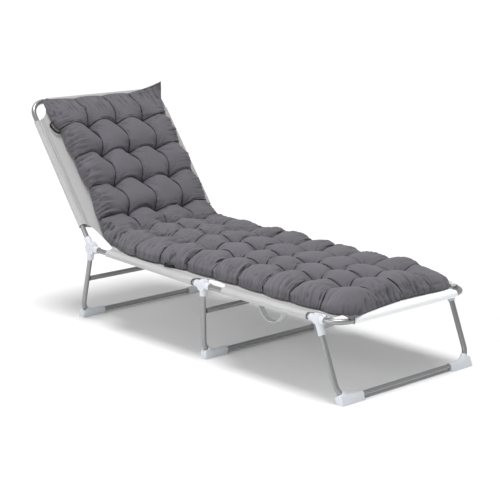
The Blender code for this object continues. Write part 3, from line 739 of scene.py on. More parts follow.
def finish(slot):
    """The finish of one of the record's material slots, made when it is first asked for."""
    name = slot + "_finish"
    found = bpy.data.materials.get(name)
    if found:
        return found
    cushion = bpy.context.scene.cushion_settings
    lounger = bpy.context.scene.lounger_settings
    if slot == "cushion_cloth":
        return cushion_material(name, cushion.cloth)
    if slot == "elastic":
        return webbing_material(name, cushion.elastic, 3000.0, 0.75)
    if slot == "strap_webbing":
        return webbing_material(name, lounger.strap, 2200.0, 0.75)
    if slot == "sling_fabric":
        return sling_material(name, lounger.sling, 700.0, HALF_RAIL - 0.022)
    if slot == "end_sleeve":
        return sling_material(name, lounger.sleeve, 1200.0, 9.0)
    if slot == "frame_tube":
        return coated_material(name, lounger.tube, 0.65, 0.28, 900.0, 0.03)
    if slot == "fitting_plastic":
        return coated_material(name, lounger.fitting, 0.0, 0.45, 1400.0, 0.3)
    raise ValueError("no finish for slot " + slot)


# Tubes

def draw_tube(name, point, heading, moves):
    """A ring of points drawn out along runs and round bends, then closed at both ends."""
    deselect()
    bpy.ops.mesh.primitive_circle_add(
        vertices=TUBE_SIDES, radius=TUBE_RADIUS, fill_type='NOTHING', location=point,
        rotation=heading.to_track_quat('Z', 'Y').to_euler())
    tube = new_primitive(name)
    bpy.ops.object.mode_set(mode='EDIT')
    bpy.ops.mesh.select_all(action='SELECT')
    for kind, amount, centre, axis in moves:
        if kind == "run":
            bpy.ops.mesh.extrude_region_move(TRANSFORM_OT_translate={"value": amount})
        else:
            bpy.ops.mesh.spin(steps=BEND_STEPS, angle=amount, center=centre, axis=axis)
    bpy.ops.mesh.select_all(action='SELECT')
    bpy.ops.mesh.remove_doubles(threshold=0.00001)
    bpy.ops.mesh.select_all(action='DESELECT')
    bpy.ops.mesh.select_non_manifold()
    bpy.ops.mesh.fill_holes(sides=0)
    bpy.ops.object.mode_set(mode='OBJECT')
    face_outwards(tube)
    smooth_by_angle(tube, 50)
    return tube


def draw_u_tube(name, top, direction, length, bend_radius, setback):
    """A U of tube: down the near side, across the bar and up the far side."""
    across = Vector((0, 1, 0))
    straight = length - bend_radius - setback
    axis = across.cross(direction)
    low = top + direction * (length - bend_radius)
    inset = across * (HALF_RAIL - bend_radius)
    start = top - across * HALF_RAIL + direction * setback
    quarter = math.pi / 2
    return draw_tube(name, start, direction, (
        ("run", direction * straight, None, None),
        ("bend", quarter, low - inset, axis),
        ("run", inset * 2, None, None),
        ("bend", quarter, low + inset, axis),
        ("run", -direction * straight, None, None),
    ))


class LOUNGER_OT_tubes(Operator):
    """Bend and place all tubes of the lounger"""

    bl_idname = "lounger.tubes"
    bl_label = "Tubes"

    def execute(self, context):
        coat = finish("frame_tube")
        foot = FOOT_END - MIDDLE_HINGE
        pieces = {
            "back_tube": draw_u_tube(
                "back_frame", HEAD_HINGE, BACK_DIRECTION, BACK_LENGTH, FRAME_CORNER_RADIUS,
                TUBE_END_SETBACK),
            "foot_tube": draw_u_tube(
                "foot_frame", MIDDLE_HINGE, foot.normalized(), foot.length, FRAME_CORNER_RADIUS,
                TUBE_END_SETBACK),
        }
        rail = MIDDLE_HINGE - HEAD_HINGE
        setback = rail.normalized() * TUBE_END_SETBACK
        for side, sign in (("near", -1), ("far", 1)):
            start = HEAD_HINGE + setback + Vector((0, sign * HALF_RAIL, 0))
            pieces["seat_rail_" + side] = draw_tube(
                "seat_side_" + side, start, rail, (("run", rail - 2 * setback, None, None),))
        for leg, top, foot_shift, bar_down, leg_setback in LEG_TABLE:
            drop = Vector((foot_shift, 0, FLOOR_BAR_HEIGHT - top.z))
            pieces[leg + "_leg"] = draw_u_tube(
                leg + "_leg_tube", top, drop.normalized(), drop.length, LEG_BEND_RADIUS, leg_setback)
            if bar_down:
                reach = Vector((0, HALF_RAIL - TUBE_RADIUS - FIT_GAP, 0))
                start = top + drop * bar_down - reach
                pieces[leg + "_cross_bar"] = draw_tube(
                    leg + "_leg_bar", start, reach, (("run", reach * 2, None, None),))
        for node, piece in pieces.items():
            finish_piece(piece, coat, "frame_tube", node)
        return {'FINISHED'}


# Plastic fittings

def copy_of_node(node, name, bevel):
    """A copy of a CAD node with its edges rounded over."""
    choose(frame["nodes"][node])
    bpy.ops.object.duplicate()
    copy = bpy.context.object
    bpy.ops.object.parent_clear(type='CLEAR_KEEP_TRANSFORM')
    copy.name = name
    copy.data.name = name
    copy.hide_render = False
    face_outwards(copy)
    bpy.ops.object.mode_set(mode='EDIT')
    bpy.ops.mesh.select_all(action='SELECT')
    bpy.ops.mesh.dissolve_limited(angle_limit=math.radians(2))
    bpy.ops.object.mode_set(mode='OBJECT')
    edge = copy.modifiers.new("edge", 'BEVEL')
    edge.width = bevel
    edge.segments = 2
    edge.limit_method = 'ANGLE'
    edge.angle_limit = math.radians(35)
    edge.use_clamp_overlap = True
    apply_modifiers(copy)
    smooth_by_angle(copy, 40)
    return copy


def add_rivet(name, centre, radius, side):
    """A domed rivet head with a rolled rim on the outer face of a hinge."""
    deselect()
    height = 0.0016
    bpy.ops.mesh.primitive_cylinder_add(
        vertices=32, radius=radius, depth=height, location=centre + Vector((0, side * height / 2, 0)),
        rotation=(math.pi / 2, 0, 0))
    rivet = new_primitive(name)
    bpy.ops.object.mode_set(mode='EDIT')
    bpy.ops.mesh.select_all(action='DESELECT')
    bpy.ops.object.mode_set(mode='OBJECT')
    for face in rivet.data.polygons:
        face.select = face.normal.y * side > 0.9
    bpy.ops.object.mode_set(mode='EDIT')
    bpy.ops.mesh.inset(thickness=radius * 0.28, depth=0.0004)
    bpy.ops.mesh.inset(thickness=radius * 0.14, depth=-0.0007)
    bpy.ops.mesh.inset(thickness=radius * 0.12, depth=0.0005)
    bpy.ops.object.mode_set(mode='OBJECT')
    edge = rivet.modifiers.new("edge", 'BEVEL')
    edge.width = 0.0003
    edge.segments = 2
    apply_modifiers(rivet)
    smooth_by_angle(rivet, 40)
    return rivet


class LOUNGER_OT_fittings(Operator):
    """Round over the hinges, brackets and shoes and set their rivets"""

    bl_idname = "lounger.fittings"
    bl_label = "Plastic fittings"

    def execute(self, context):
        plastic = finish("fitting_plastic")
        names = [n for n in frame["nodes"] if any(w in n for w in ("hinge", "bracket", "cap"))]
        for node in sorted(names):
            piece = copy_of_node(node, node + "_moulding", 0.0030 if "cap" in node else 0.0010)
            finish_piece(piece, plastic, "fitting_plastic", node)
        for side_name, sign in (("near", -1), ("far", 1)):
            for label, centre, radius in (
                    ("head", HEAD_HINGE, 0.0085), ("middle", MIDDLE_HINGE, 0.0075)):
                face_y = sign * (HALF_RAIL + 0.014)
                rivet = add_rivet(
                    f"{label}_rivet_{side_name}", Vector((centre.x, face_y - sign * 0.0004, centre.z)),
                    radius, sign)
                finish_piece(rivet, plastic, "fitting_plastic")
        return {'FINISHED'}


# Sling and end sleeve

def sleeve_section(turn, steps, hem_width, hem_drop):
    """A sleeve round a tube: distance outwards, lift and length from its top, hem first."""
    points = []
    for step in range(steps + 1):
        angle = turn * step / steps
        points.append((
            SLEEVE_RADIUS * math.sin(angle), SLEEVE_RADIUS * math.cos(angle), SLEEVE_RADIUS * angle))
    out, lift, _ = points[-1]
    hem_lift = SLEEVE_RADIUS - hem_drop
    hem_run = math.hypot(out + hem_width, lift - hem_lift)
    points.append((-hem_width, hem_lift, SLEEVE_RADIUS * turn + hem_run))
    return points[::-1]


def body_distances():
    """Row places along the sling's body, with a row on each limit of a sleeve opening."""
    stops = [SLEEVE_CORNER_GAP]
    for low, high in SLEEVE_OPENINGS:
        stops += [low, high]
    stops[-1] = SLING_LINE.length - FOOT_SLEEVE_HEM - 0.001
    rows = []
    for start, end in zip(stops, stops[1:]):
        count = max(1, round((end - start) / ROW_SPACING))
        rows += [start + (end - start) * step / count for step in range(count)]
    return rows + [stops[-1]]


def sling_sheet():
    """The sheet's rows of points and their flat places, before it gets its thickness."""
    section = sleeve_section(SLEEVE_TURN, SLEEVE_STEPS, HEM_WIDTH, HEM_DROP)
    near = [(-HALF_RAIL - out, lift, -HALF_RAIL - run) for out, lift, run in section]
    inner = HALF_RAIL * 0.74
    flat = []
    for step in range(FLAT_STEPS + 1):
        y = -inner + 2 * inner * step / FLAT_STEPS
        flat.append((y, SLEEVE_RADIUS, y))
    far = [(-y, lift, -run) for y, lift, run in reversed(near)]
    columns = near + flat + far
    rows = [(-out, lift, -run) for out, lift, run in section]
    rows += [(along, SLEEVE_RADIUS, along) for along in body_distances()]
    first_flat, last_flat = len(near) - 1, len(near) + len(flat)
    last_head = len(section) - 1
    points, places = [], []
    for row, (along, row_lift, row_run) in enumerate(rows):
        line, flat_line = [], []
        for column, (y, column_lift, column_run) in enumerate(columns):
            in_side = column < first_flat or column > last_flat
            on_flat_edge = column in (first_flat, last_flat)
            in_opening = any(low + 1e-6 < along < high - 1e-6 for low, high in SLEEVE_OPENINGS)
            missing = (in_side and (row < last_head + 1 or in_opening))
            missing = missing or (on_flat_edge and row < last_head)
            line.append(None if missing else SLING_LINE.at(along, min(row_lift, column_lift), y))
            flat_line.append((column_run, row_run))
        points.append(line)
        places.append(flat_line)
    return points, places


def cut_notches(sling):
    """Cut the ends of the hinges free with round notches in the sheet."""
    cutters = []
    for centre, half_sizes in NOTCH_TABLE:
        for sign in (-1, 1):
            deselect()
            bpy.ops.mesh.primitive_uv_sphere_add(
                segments=48, ring_count=24, radius=1.0, scale=half_sizes,
                location=centre + Vector((0, sign * (HALF_RAIL + NOTCH_OUTSET), 0)))
            cutters.append(new_primitive("notch"))
            cut = sling.modifiers.new("notch", 'BOOLEAN')
            cut.operation = 'DIFFERENCE'
            cut.object = cutters[-1]
    apply_modifiers(sling)
    for cutter in cutters:
        bpy.data.objects.remove(cutter, do_unlink=True)


class LOUNGER_OT_sling(Operator):
    """Lay the sling over its frame and wrap the white sleeve round the end bar"""

    bl_idname = "lounger.sling"
    bl_label = "Sling"

    def execute(self, context):
        points, places = sling_sheet()
        sling = sheet_object("sling_sheet", points, places)
        add_solidify(sling, SLING_THICKNESS)
        apply_modifiers(sling)
        cut_notches(sling)
        smooth_by_angle(sling, 50)
        finish_piece(sling, finish("sling_fabric"), "sling_fabric", "sling")

        section = sleeve_section(FOOT_SLEEVE_TURN, 20, 0.0, 0.0)[1:]
        rows = [(out, lift, run) for out, lift, run in section]
        for step in range(1, 9):
            out = -FOOT_SLEEVE_HEM * step / 8
            rows.append((out, SLEEVE_RADIUS, out))
        columns = [FOOT_SLEEVE_HALF * (step / 20 - 1) for step in range(41)]
        grid = [[SLING_LINE.at(SLING_LINE.length + out, lift, y) for y in columns]
                for out, lift, _ in rows]
        flat_places = [[(y, run) for y in columns] for _, _, run in rows]
        sleeve = sheet_object("end_sleeve_wrap", grid, flat_places)
        add_solidify(sleeve, SLING_THICKNESS)
        apply_modifiers(sleeve)
        smooth_by_angle(sleeve, 50)
        finish_piece(sleeve, finish("end_sleeve"), "end_sleeve", "foot_sleeve")
        return {'FINISHED'}


# Cushion

def bulge_profile(share):
    """Height share across one bulge: nothing at its valleys, full in its middle."""
    return math.sin(math.pi * share) ** 0.8


def round_edge(out, power):
    """Falls from one in the middle of an edge bulge to nothing at the seam, like a full roll."""
    return (1 - out ** power) ** 0.5


def knife_edge(share):
    """Falls gently to a thin edge, for the flat end under the head."""
    return 1 - max(0.0, (share - 0.12) / 0.88) ** 1.35


def dense_ends(share):
    """Moves evenly spaced shares towards zero and one."""
    return share - 0.06 * math.sin(2 * math.pi * share)


def stations(first, pitch, inner, margin_before, margin_after, steps):
    """Places along one direction of the tufting.

    Each is its distance, its valley-to-crown share, how far it is into an edge bulge before
    the first tuft or past the last one, and its number of bulges from the first tuft.
    """
    shares = [dense_ends(step / steps) for step in range(steps)]
    edge_shares = [dense_ends(1 - step / steps) for step in range(steps)]
    places = [(first - margin_before * share, share, share, 0.0, -share) for share in edge_shares]
    for bulge in range(inner):
        for share in shares:
            places.append((first + pitch * (bulge + share), share, 0.0, 0.0, bulge + share))
    end = first + pitch * inner
    places.append((end, 0.0, 0.0, 0.0, inner))
    for share in reversed(edge_shares):
        places.append((end + margin_after * share, share, 0.0, share, inner + share))
    return places


def side_seam(along, side):
    """Y of a side seam."""
    return read_table(SIDE_TABLE, along, 1 if side < 0 else 2)


def slide(distance, y):
    """How far the cushion has slid towards the foot, at a distance from the head bar."""
    share = smooth_step(distance, *SLIDE_START)
    share *= 1 - (1 - SLIDE_LEFT_AT_END) * smooth_step(distance, *SLIDE_END)
    return SLIDE_PER_WIDTH * max(0.0, TUFT_CENTRE_Y - y) * share


def uneven(a_count, b_count, seed, size=1.0):
    """A slow change over the tufting, from about minus one to one, the same at every run."""
    return 1.8 * noise.noise(Vector((a_count / size, b_count / size, seed)))


def near_bend(distance):
    """One on the seat just past the bend, where the cover is loose and crumpled."""
    return smooth_step(distance, 0.55, 0.68) * (1 - smooth_step(distance, 0.92, 1.15))


def cushion_place(across, along, on_top, sizes):
    """Distance, y and lift of a point of the cushion's surface."""
    offset, a_share, near_edge, far_edge, a_count = across
    distance, b_share, head_edge, foot_edge, b_count = along
    side_edge = max(near_edge, far_edge)
    side = -1 if near_edge else 1
    a_rise = 1.0 if side_edge > 0.5 else bulge_profile(a_share)
    b_rise = 1.0 if max(head_edge, foot_edge) > 0.5 else bulge_profile(b_share)
    y = TUFT_CENTRE_Y + offset
    if side_edge:
        outer_tuft = TUFT_CENTRE_Y + side * TUFT_PITCH_ACROSS * (TUFT_COLUMNS - 1) / 2
        seam_at = distance + (slide(distance, NEAR_SEAM_Y) if side < 0 else 0.0)
        seam = side_seam(seam_at, side) - side * SCALLOP_DEPTH * (1 - b_rise)
        y = outer_tuft + (seam - outer_tuft) * side_edge
    plump = read_table(FULLNESS_TABLE, distance, 1) * (1 - HEAD_FLATTENING * head_edge)
    plump *= 1 + sizes.uneven_filling * uneven(a_count, b_count, 41.0, 0.8)
    evened = SEAT_EVENING * near_bend(distance) * sizes.crown_rise
    full = sizes.tuft_height + plump * (
        (sizes.valley_rise + evened) * (a_rise + b_rise - a_rise * b_rise)
        + (sizes.crown_rise - evened) * a_rise * b_rise)
    out = [max(0.0, 2 * edge - 1) for edge in (side_edge, foot_edge)]
    corner = min(1.0, (out[0] ** CORNER_POWER + out[1] ** CORNER_POWER) ** (1 / CORNER_POWER))
    power = SIDE_FULLNESS + (FOOT_FULLNESS - SIDE_FULLNESS) * out[1]
    ramp = round_edge(corner, power) * knife_edge(head_edge)
    rim = max(0.0, (max(side_edge, head_edge, foot_edge) - 0.74) / 0.26)
    lift = SEAM_HEIGHT + (full - SEAM_HEIGHT) * ramp if on_top else SEAM_HEIGHT * rim * rim
    end_edge = max(head_edge, foot_edge)
    inside = (1 - max(side_edge, end_edge) ** 2)
    bow = VALLEY_BOW * (1 - 0.6 * smooth_step(distance, 0.45, 0.65))
    distance -= bow * (1 - end_edge) * a_rise * (1 - b_rise)
    y += bow * (1 - side_edge) * b_rise * (1 - a_rise)
    y += sizes.tuft_wander * inside * uneven(a_count, b_count, 5.0)
    distance += sizes.tuft_wander * inside * uneven(a_count, b_count, 11.0)
    distance += slide(distance, y)
    if foot_edge:
        across_share = min(1.0, abs(y - TUFT_CENTRE_Y) / FOOT_HALF_WIDTH)
        distance -= FOOT_BOW * foot_edge ** 2 * (1 - across_share ** 2)
    if head_edge:
        distance += HEAD_SCALLOP * head_edge ** 2 * (1 - a_rise)
    for corner_side, at_foot, wider, longer, raised, sharpness, sagging in CORNER_TABLE:
        end_edge = foot_edge if at_foot else head_edge
        if side_edge and end_edge and corner_side == side:
            pull = (side_edge * end_edge) ** 3
            y += corner_side * wider * pull
            distance += (1 if at_foot else -1) * longer * pull
            lift += raised * (side_edge * end_edge) ** sharpness
            lift *= 1 - sagging * side_edge * end_edge
    return distance, y, lift


def groove(value, width):
    """One where a noise value crosses zero, falling to nothing at a width from it."""
    return max(0.0, 1 - abs(value) / width)


def edge_folds(run, inwards, seed):
    """Depth of gathers that run inwards from a seam, at a number of gathers along it."""
    fine = noise.noise(Vector((run, inwards * 0.9, seed)))
    wide = noise.noise(Vector((run * 0.4, inwards * 0.8, seed + 3)))
    return 0.75 * groove(fine, 0.20) + 1.0 * groove(wide, 0.12) - 0.9 * fine


def gather_windows(across, along):
    """How strongly the side seams and the end seams gather the cover at a place."""
    side_edge, head_edge, foot_edge = max(across[2], across[3]), along[2], along[3]
    smooth_corner = 1 - 0.85 * smooth_step(min(side_edge, foot_edge), 0.05, 0.4)
    side = smooth_step(side_edge, 0.30, 0.85) * (1 - smooth_step(side_edge, 0.985, 1.0))
    head = smooth_step(head_edge, 0.05, 0.70) * (1 - smooth_step(head_edge, 0.85, 1.0))
    foot = smooth_step(foot_edge, 0.35, 0.85) * (1 - smooth_step(foot_edge, 0.985, 1.0))
    return side * smooth_corner, head, foot * smooth_corner


def gathers(across, along, sizes):
    """Depth of the gathers and fine folds at a place of the top."""
    distance, a_count, b_count = along[0], across[4], along[4]
    side, head, foot = gather_windows(across, along)
    side_edge, end_edge = max(across[2], across[3]), max(along[2], along[3])
    offset = across[0] if not side_edge else TUFT_PITCH_ACROSS * a_count
    depth = 0.0
    if side:
        depth += side * edge_folds(distance / 0.0105, side_edge, 3.0 + (across[3] > 0))
    depth *= 1 - 0.7 * max(head, foot)
    if head or foot:
        depth += (head + 1.3 * foot) * edge_folds(offset / 0.014, end_edge, 17.0 + (foot > 0))
    near_a = min(max(round(a_count), 0), TUFT_COLUMNS - 1)
    near_b = min(max(round(b_count), 0), TUFT_ROWS - 1)
    radius = math.hypot(a_count - near_a, b_count - near_b)
    if radius < 0.55:
        angle = math.atan2(b_count - near_b, a_count - near_a)
        spot = Vector((math.cos(angle) * 2.4, math.sin(angle) * 2.4, near_a * 7.3 + near_b * 3.1))
        window = smooth_step(radius, 0.02, 0.12) * (1 - smooth_step(radius, 0.15, 0.55))
        depth += window * 0.55 * groove(noise.noise(spot), 0.10)
    crumple = noise.noise(Vector((a_count * 2.2, b_count * 5.0, 31.0)))
    depth += (0.10 + 0.45 * near_bend(distance)) * groove(crumple, 0.15)
    return -sizes.gather_depth * depth


def cushion_grid(sizes):
    """All stations of the top, and its points as an array of rows, columns and x, y, z."""
    outer = TUFT_PITCH_ACROSS * (TUFT_COLUMNS - 1) / 2
    across = stations(-outer, TUFT_PITCH_ACROSS, TUFT_COLUMNS - 1, 1.0, 1.0, sizes.steps_across)
    along = stations(
        HEAD_EDGE + HEAD_MARGIN, TUFT_PITCH_ALONG, TUFT_ROWS - 1, HEAD_MARGIN, FOOT_MARGIN,
        sizes.steps_along)
    flat = numpy.array([[cushion_place(u, v, True, sizes) for u in across] for v in along])
    return across, along, flat


def blown_up(flat, across, along, sizes):
    """How far each point of the top moves when its filling presses on the cover.

    The cover is simulated laid out flat, held at its seam and tufts and lightly at its valleys,
    on every second point of the grid. The moves are capped and passed on to the points between.
    """
    coarse = flat[::2, ::2]
    rows, columns, _ = coarse.shape
    u_places, v_places = across[::2], along[::2]
    vertices = coarse.reshape(-1, 3).tolist()
    faces = []
    for row in range(rows - 1):
        for column in range(columns - 1):
            start = row * columns + column
            faces.append((start, start + columns, start + columns + 1, start + 1))
    mesh = bpy.data.meshes.new("cover")
    mesh.from_pydata(vertices, [], faces)
    cover = bpy.data.objects.new("cover", mesh)
    bpy.context.scene.collection.objects.link(cover)
    held = cover.vertex_groups.new(name="held")
    for row in range(rows):
        for column in range(columns):
            u, v = u_places[column], v_places[row]
            a_near, b_near = abs(u[4] - round(u[4])), abs(v[4] - round(v[4]))
            on_rim = row in (0, rows - 1) or column in (0, columns - 1)
            on_tuft = math.hypot(a_near, b_near) < 0.03
            on_valley = a_near < 0.01 or b_near < 0.01
            weight = 1.0 if on_rim or on_tuft else 0.06 if on_valley else 0.0
            if weight:
                held.add([row * columns + column], weight, 'REPLACE')
    cloth = cover.modifiers.new("cloth", 'CLOTH')
    cloth.settings.quality = 6
    cloth.settings.mass = 0.15
    cloth.settings.tension_stiffness = 12
    cloth.settings.compression_stiffness = 12
    cloth.settings.shear_stiffness = 6
    cloth.settings.bending_stiffness = 0.2
    cloth.settings.air_damping = 2
    cloth.settings.shrink_min = -sizes.ease
    cloth.settings.use_pressure = True
    cloth.settings.uniform_pressure_force = sizes.pressure
    cloth.settings.vertex_group_mass = "held"
    cloth.settings.effector_weights.gravity = 0
    cloth.collision_settings.use_collision = False
    scene = bpy.context.scene
    for number in range(1, 21):
        scene.frame_set(number)
    evaluated = cover.evaluated_get(bpy.context.evaluated_depsgraph_get())
    moved = numpy.array([vertex.co[:] for vertex in evaluated.data.vertices])
    moves = moved.reshape(rows, columns, 3) - coarse
    scene.frame_set(1)
    bpy.data.objects.remove(cover, do_unlink=True)
    lengths = numpy.linalg.norm(moves, axis=2, keepdims=True)
    moves *= numpy.minimum(1.0, MOVE_CAP / numpy.maximum(lengths, 1e-9))
    moves *= numpy.array([1 - 0.6 * v[2] for v in v_places])[:, None, None]
    return between_points(between_points(moves, 0), 1)


def between_points(values, axis):
    """A grid with a row set between each two rows, on a smooth curve through its neighbours."""
    values = numpy.moveaxis(values, axis, 0)
    padded = numpy.concatenate([values[:1], values, values[-1:]])
    middle = (9 * (padded[1:-2] + padded[2:-1]) - padded[:-3] - padded[3:]) / 16
    full = numpy.empty((2 * len(values) - 1, *values.shape[1:]))
    full[::2] = values
    full[1::2] = middle
    return numpy.moveaxis(full, 0, axis)


def on_sling(flat):
    """Places over the sling, from an array of distance, y and lift."""
    rows, columns, _ = flat.shape
    points = numpy.empty_like(flat)
    for row in range(rows):
        for column in range(columns):
            distance, y, lift = flat[row, column].tolist()
            points[row, column] = SLING_LINE.at(distance, CUSHION_LIFT + lift, y)
    return points


def grid_normals(points):
    """Upward normals of a grid of points."""
    along = numpy.gradient(points, axis=0)
    across = numpy.gradient(points, axis=1)
    normals = numpy.cross(along, across)
    lengths = numpy.linalg.norm(normals, axis=2, keepdims=True)
    return normals / numpy.maximum(lengths, 1e-12)


def hollows(points, normals):
    """How hollow a grid of points is at each of them, from nothing to one."""
    around = points.copy()
    around[1:-1, 1:-1] = (
        points[2:, 1:-1] + points[:-2, 1:-1] + points[1:-1, 2:] + points[1:-1, :-2]) / 4
    rise = ((around - points) * normals).sum(axis=2)
    return numpy.clip(rise / HOLLOW_DEPTH, 0.0, 1.0)


class LOUNGER_OT_cushion(Operator):
    """Sew and fill the tufted cushion"""

    bl_idname = "lounger.cushion"
    bl_label = "Cushion"

    def execute(self, context):
        sizes = context.scene.cushion_settings
        across, along, flat = cushion_grid(sizes)
        flat += blown_up(flat, across, along, sizes)
        points = on_sling(flat)
        normals = grid_normals(points)
        depth = numpy.array([[gathers(u, v, sizes) for u in across] for v in along])
        depth[0, :] = depth[-1, :] = 0
        depth[:, 0] = depth[:, -1] = 0
        points += normals * depth[..., None]
        # The hollows of the mesh feed the painted shade below
        hollow = hollows(points, grid_normals(points))

        last_row, last_column = len(along) - 1, len(across) - 1
        under_columns = list(range(0, last_column + 1, 4))
        under_rows = list(range(0, last_row + 1, 4))
        bm = bmesh.new()
        uv_layer = bm.loops.layers.uv.new("flat")
        painted_shade_layer = bm.verts.layers.float.new("painted_crease_shade")
        side_layer = bm.verts.layers.float.new("side_gathers")
        end_layer = bm.verts.layers.float.new("end_gathers")
        top = [[bm.verts.new(point) for point in row] for row in points]
        steps_along = numpy.linalg.norm(numpy.diff(points, axis=1), axis=2)
        arc = numpy.concatenate(
            [numpy.zeros((last_row + 1, 1)), numpy.cumsum(steps_along, axis=1)], axis=1)
        arc -= arc[:, last_column // 2][:, None]
        for row, v in enumerate(along):
            b_valley = min(v[1], 1 - v[1]) if not (v[2] > 0.5 or v[3] > 0.5) else 0.5
            for column, u in enumerate(across):
                a_valley = min(u[1], 1 - u[1]) if max(u[2], u[3]) <= 0.5 else 0.5
                near_a = min(max(round(u[4]), 0), TUFT_COLUMNS - 1)
                near_b = min(max(round(v[4]), 0), TUFT_ROWS - 1)
                radius = math.hypot(u[4] - near_a, v[4] - near_b)
                line = 1 - smooth_step(min(a_valley, b_valley), 0.0, 0.036)
                spot = 1 - smooth_step(radius, 0.0, 0.10)
                on_back = 1 - smooth_step(v[0], 0.45, 0.65)
                edge_line = smooth_step(max(u[2], u[3]), 0.3, 0.7)
                fade = 1 - 0.6 * smooth_step(radius, 0.15, 0.50) * (1 - max(on_back, edge_line))
                side, head, foot = gather_windows(u, v)
                fade *= 1 - 0.5 * near_bend(v[0])
                vert = top[row][column]
                # Painted shade: dark along the valley lines, at the tufts and in the hollows of the
                # mesh
                vert[painted_shade_layer] = max(line * fade, spot, 0.45 * hollow[row, column])
                vert[side_layer] = side
                vert[end_layer] = max(head, foot)
        place = {}
        for row in range(last_row + 1):
            for column in range(last_column + 1):
                place[top[row][column]] = (arc[row, column], along[row][0])
        for row in range(last_row):
            for column in range(last_column):
                ring = [top[row][column], top[row + 1][column], top[row + 1][column + 1],
                        top[row][column + 1]]
                bm.faces.new(ring)
        under = {}
        for row in under_rows:
            for column in under_columns:
                if row in (0, last_row) or column in (0, last_column):
                    under[row, column] = top[row][column]
                    continue
                spot = cushion_place(across[column], along[row], False, sizes)
                vert = bm.verts.new(SLING_LINE.at(spot[0], CUSHION_LIFT + spot[2], spot[1]))
                place[vert] = (arc[row, column], -0.2 - along[row][0])
                under[row, column] = vert
        for row, row_after in zip(under_rows, under_rows[1:]):
            for column, column_after in zip(under_columns, under_columns[1:]):
                ring = [under[row, column]]
                if row == 0:
                    ring += [top[0][c] for c in range(column + 1, column_after)]
                ring.append(under[row, column_after])
                if column_after == last_column:
                    ring += [top[r][last_column] for r in range(row + 1, row_after)]
                ring.append(under[row_after, column_after])
                if row_after == last_row:
                    ring += [top[last_row][c] for c in range(column_after - 1, column, -1)]
                ring.append(under[row_after, column])
                if column == 0:
                    ring += [top[r][0] for r in range(row_after - 1, row, -1)]
                bm.faces.new(ring)
        for face in bm.faces:
            face.smooth = True
            for loop in face.loops:
                loop[uv_layer].uv = place[loop.vert]
        mesh = bpy.data.meshes.new("cushion_pad")
        bm.to_mesh(mesh)
        bm.free()
        cushion = bpy.data.objects.new("cushion_pad", mesh)
        context.scene.collection.objects.link(cushion)
        finish_piece(cushion, finish("cushion_cloth"), "cushion_cloth", "cushion")
        return {'FINISHED'}


# Loops and strap

def ribbon(name, path, wide, width, thickness, columns=5):
    """A flat band along a path of points, with its length and width as its UV map."""
    rows, places, run = [], [], 0.0
    for index, (point, side) in enumerate(zip(path, wide)):
        if index:
            run += (point - path[index - 1]).length
        shares = [step / (columns - 1) - 0.5 for step in range(columns)]
        rows.append([point + side * width * share for share in shares])
        places.append([(width * share, run) for share in shares])
    band = sheet_object(name, rows, places)
    add_solidify(band, thickness)
    apply_modifiers(band)
    smooth_by_angle(band, 50)
    return band, run


def near_seam(distance, sizes):
    """Where the near side seam of the cushion is, as y."""
    distance -= slide(distance - slide(distance, NEAR_SEAM_Y), NEAR_SEAM_Y)
    row = (distance - HEAD_EDGE - HEAD_MARGIN) / TUFT_PITCH_ALONG
    share = row - math.floor(row)
    head = max(0.0, (HEAD_EDGE + HEAD_MARGIN - distance) / HEAD_MARGIN)
    along = (distance, head if head else share, head, 0.0, 0.0)
    return cushion_place((0.0, 1.0, 1.0, 0.0, 0.0), along, True, sizes)[1]


class LOUNGER_OT_bands(Operator):
    """Sew on the elastic loops and hang the carrying strap"""

    bl_idname = "lounger.bands"
    bl_label = "Loops and strap"

    def execute(self, context):
        sizes = context.scene.cushion_settings
        steps = 36
        for node, middle, base, reach in LOOP_TABLE:
            path, wide = [], []
            for step in range(steps + 1):
                angle = math.pi * step / steps
                distance = middle - base / 2 * math.cos(angle) * (1 + 0.25 * math.sin(angle))
                edge = near_seam(middle - base / 2 * math.cos(angle), sizes) - LOOP_EDGE_GAP
                edge = min(edge, near_seam(distance, sizes) - LOOP_EDGE_GAP)
                y = edge - reach * max(0.0, math.sin(angle)) ** 0.8
                lift = CUSHION_LIFT + LOOP_BAND_WIDTH / 2 + 0.0015
                path.append(SLING_LINE.at(distance, lift, y))
                wide.append((SLING_LINE.at(distance, lift + 1, y) - path[-1]).normalized())
            band, length = ribbon(
                node + "_band", path, wide, LOOP_BAND_WIDTH, LOOP_BAND_THICKNESS)
            finish_piece(band, finish("elastic"), "elastic", node)

        start, end = STRAP_SPAN
        top = MIDDLE_HINGE.z - 0.002 + SLEEVE_RADIUS - SLING_THICKNESS / 2 - 0.001
        path = []
        for step in range(steps + 1):
            share = step / steps
            depth = 1 - abs(2 * share - 1) ** 2.6
            path.append(Vector((
                start + (end - start) * share, STRAP_Y, top - (top - STRAP_BOTTOM) * depth)))
        wide = [Vector((0, 1, 0))] * len(path)
        strap, length = ribbon("strap_band", path, wide, STRAP_WIDTH, STRAP_THICKNESS)
        finish_piece(strap, finish("strap_webbing"), "strap_webbing", "carry_strap")
        return {'FINISHED'}


# Stage

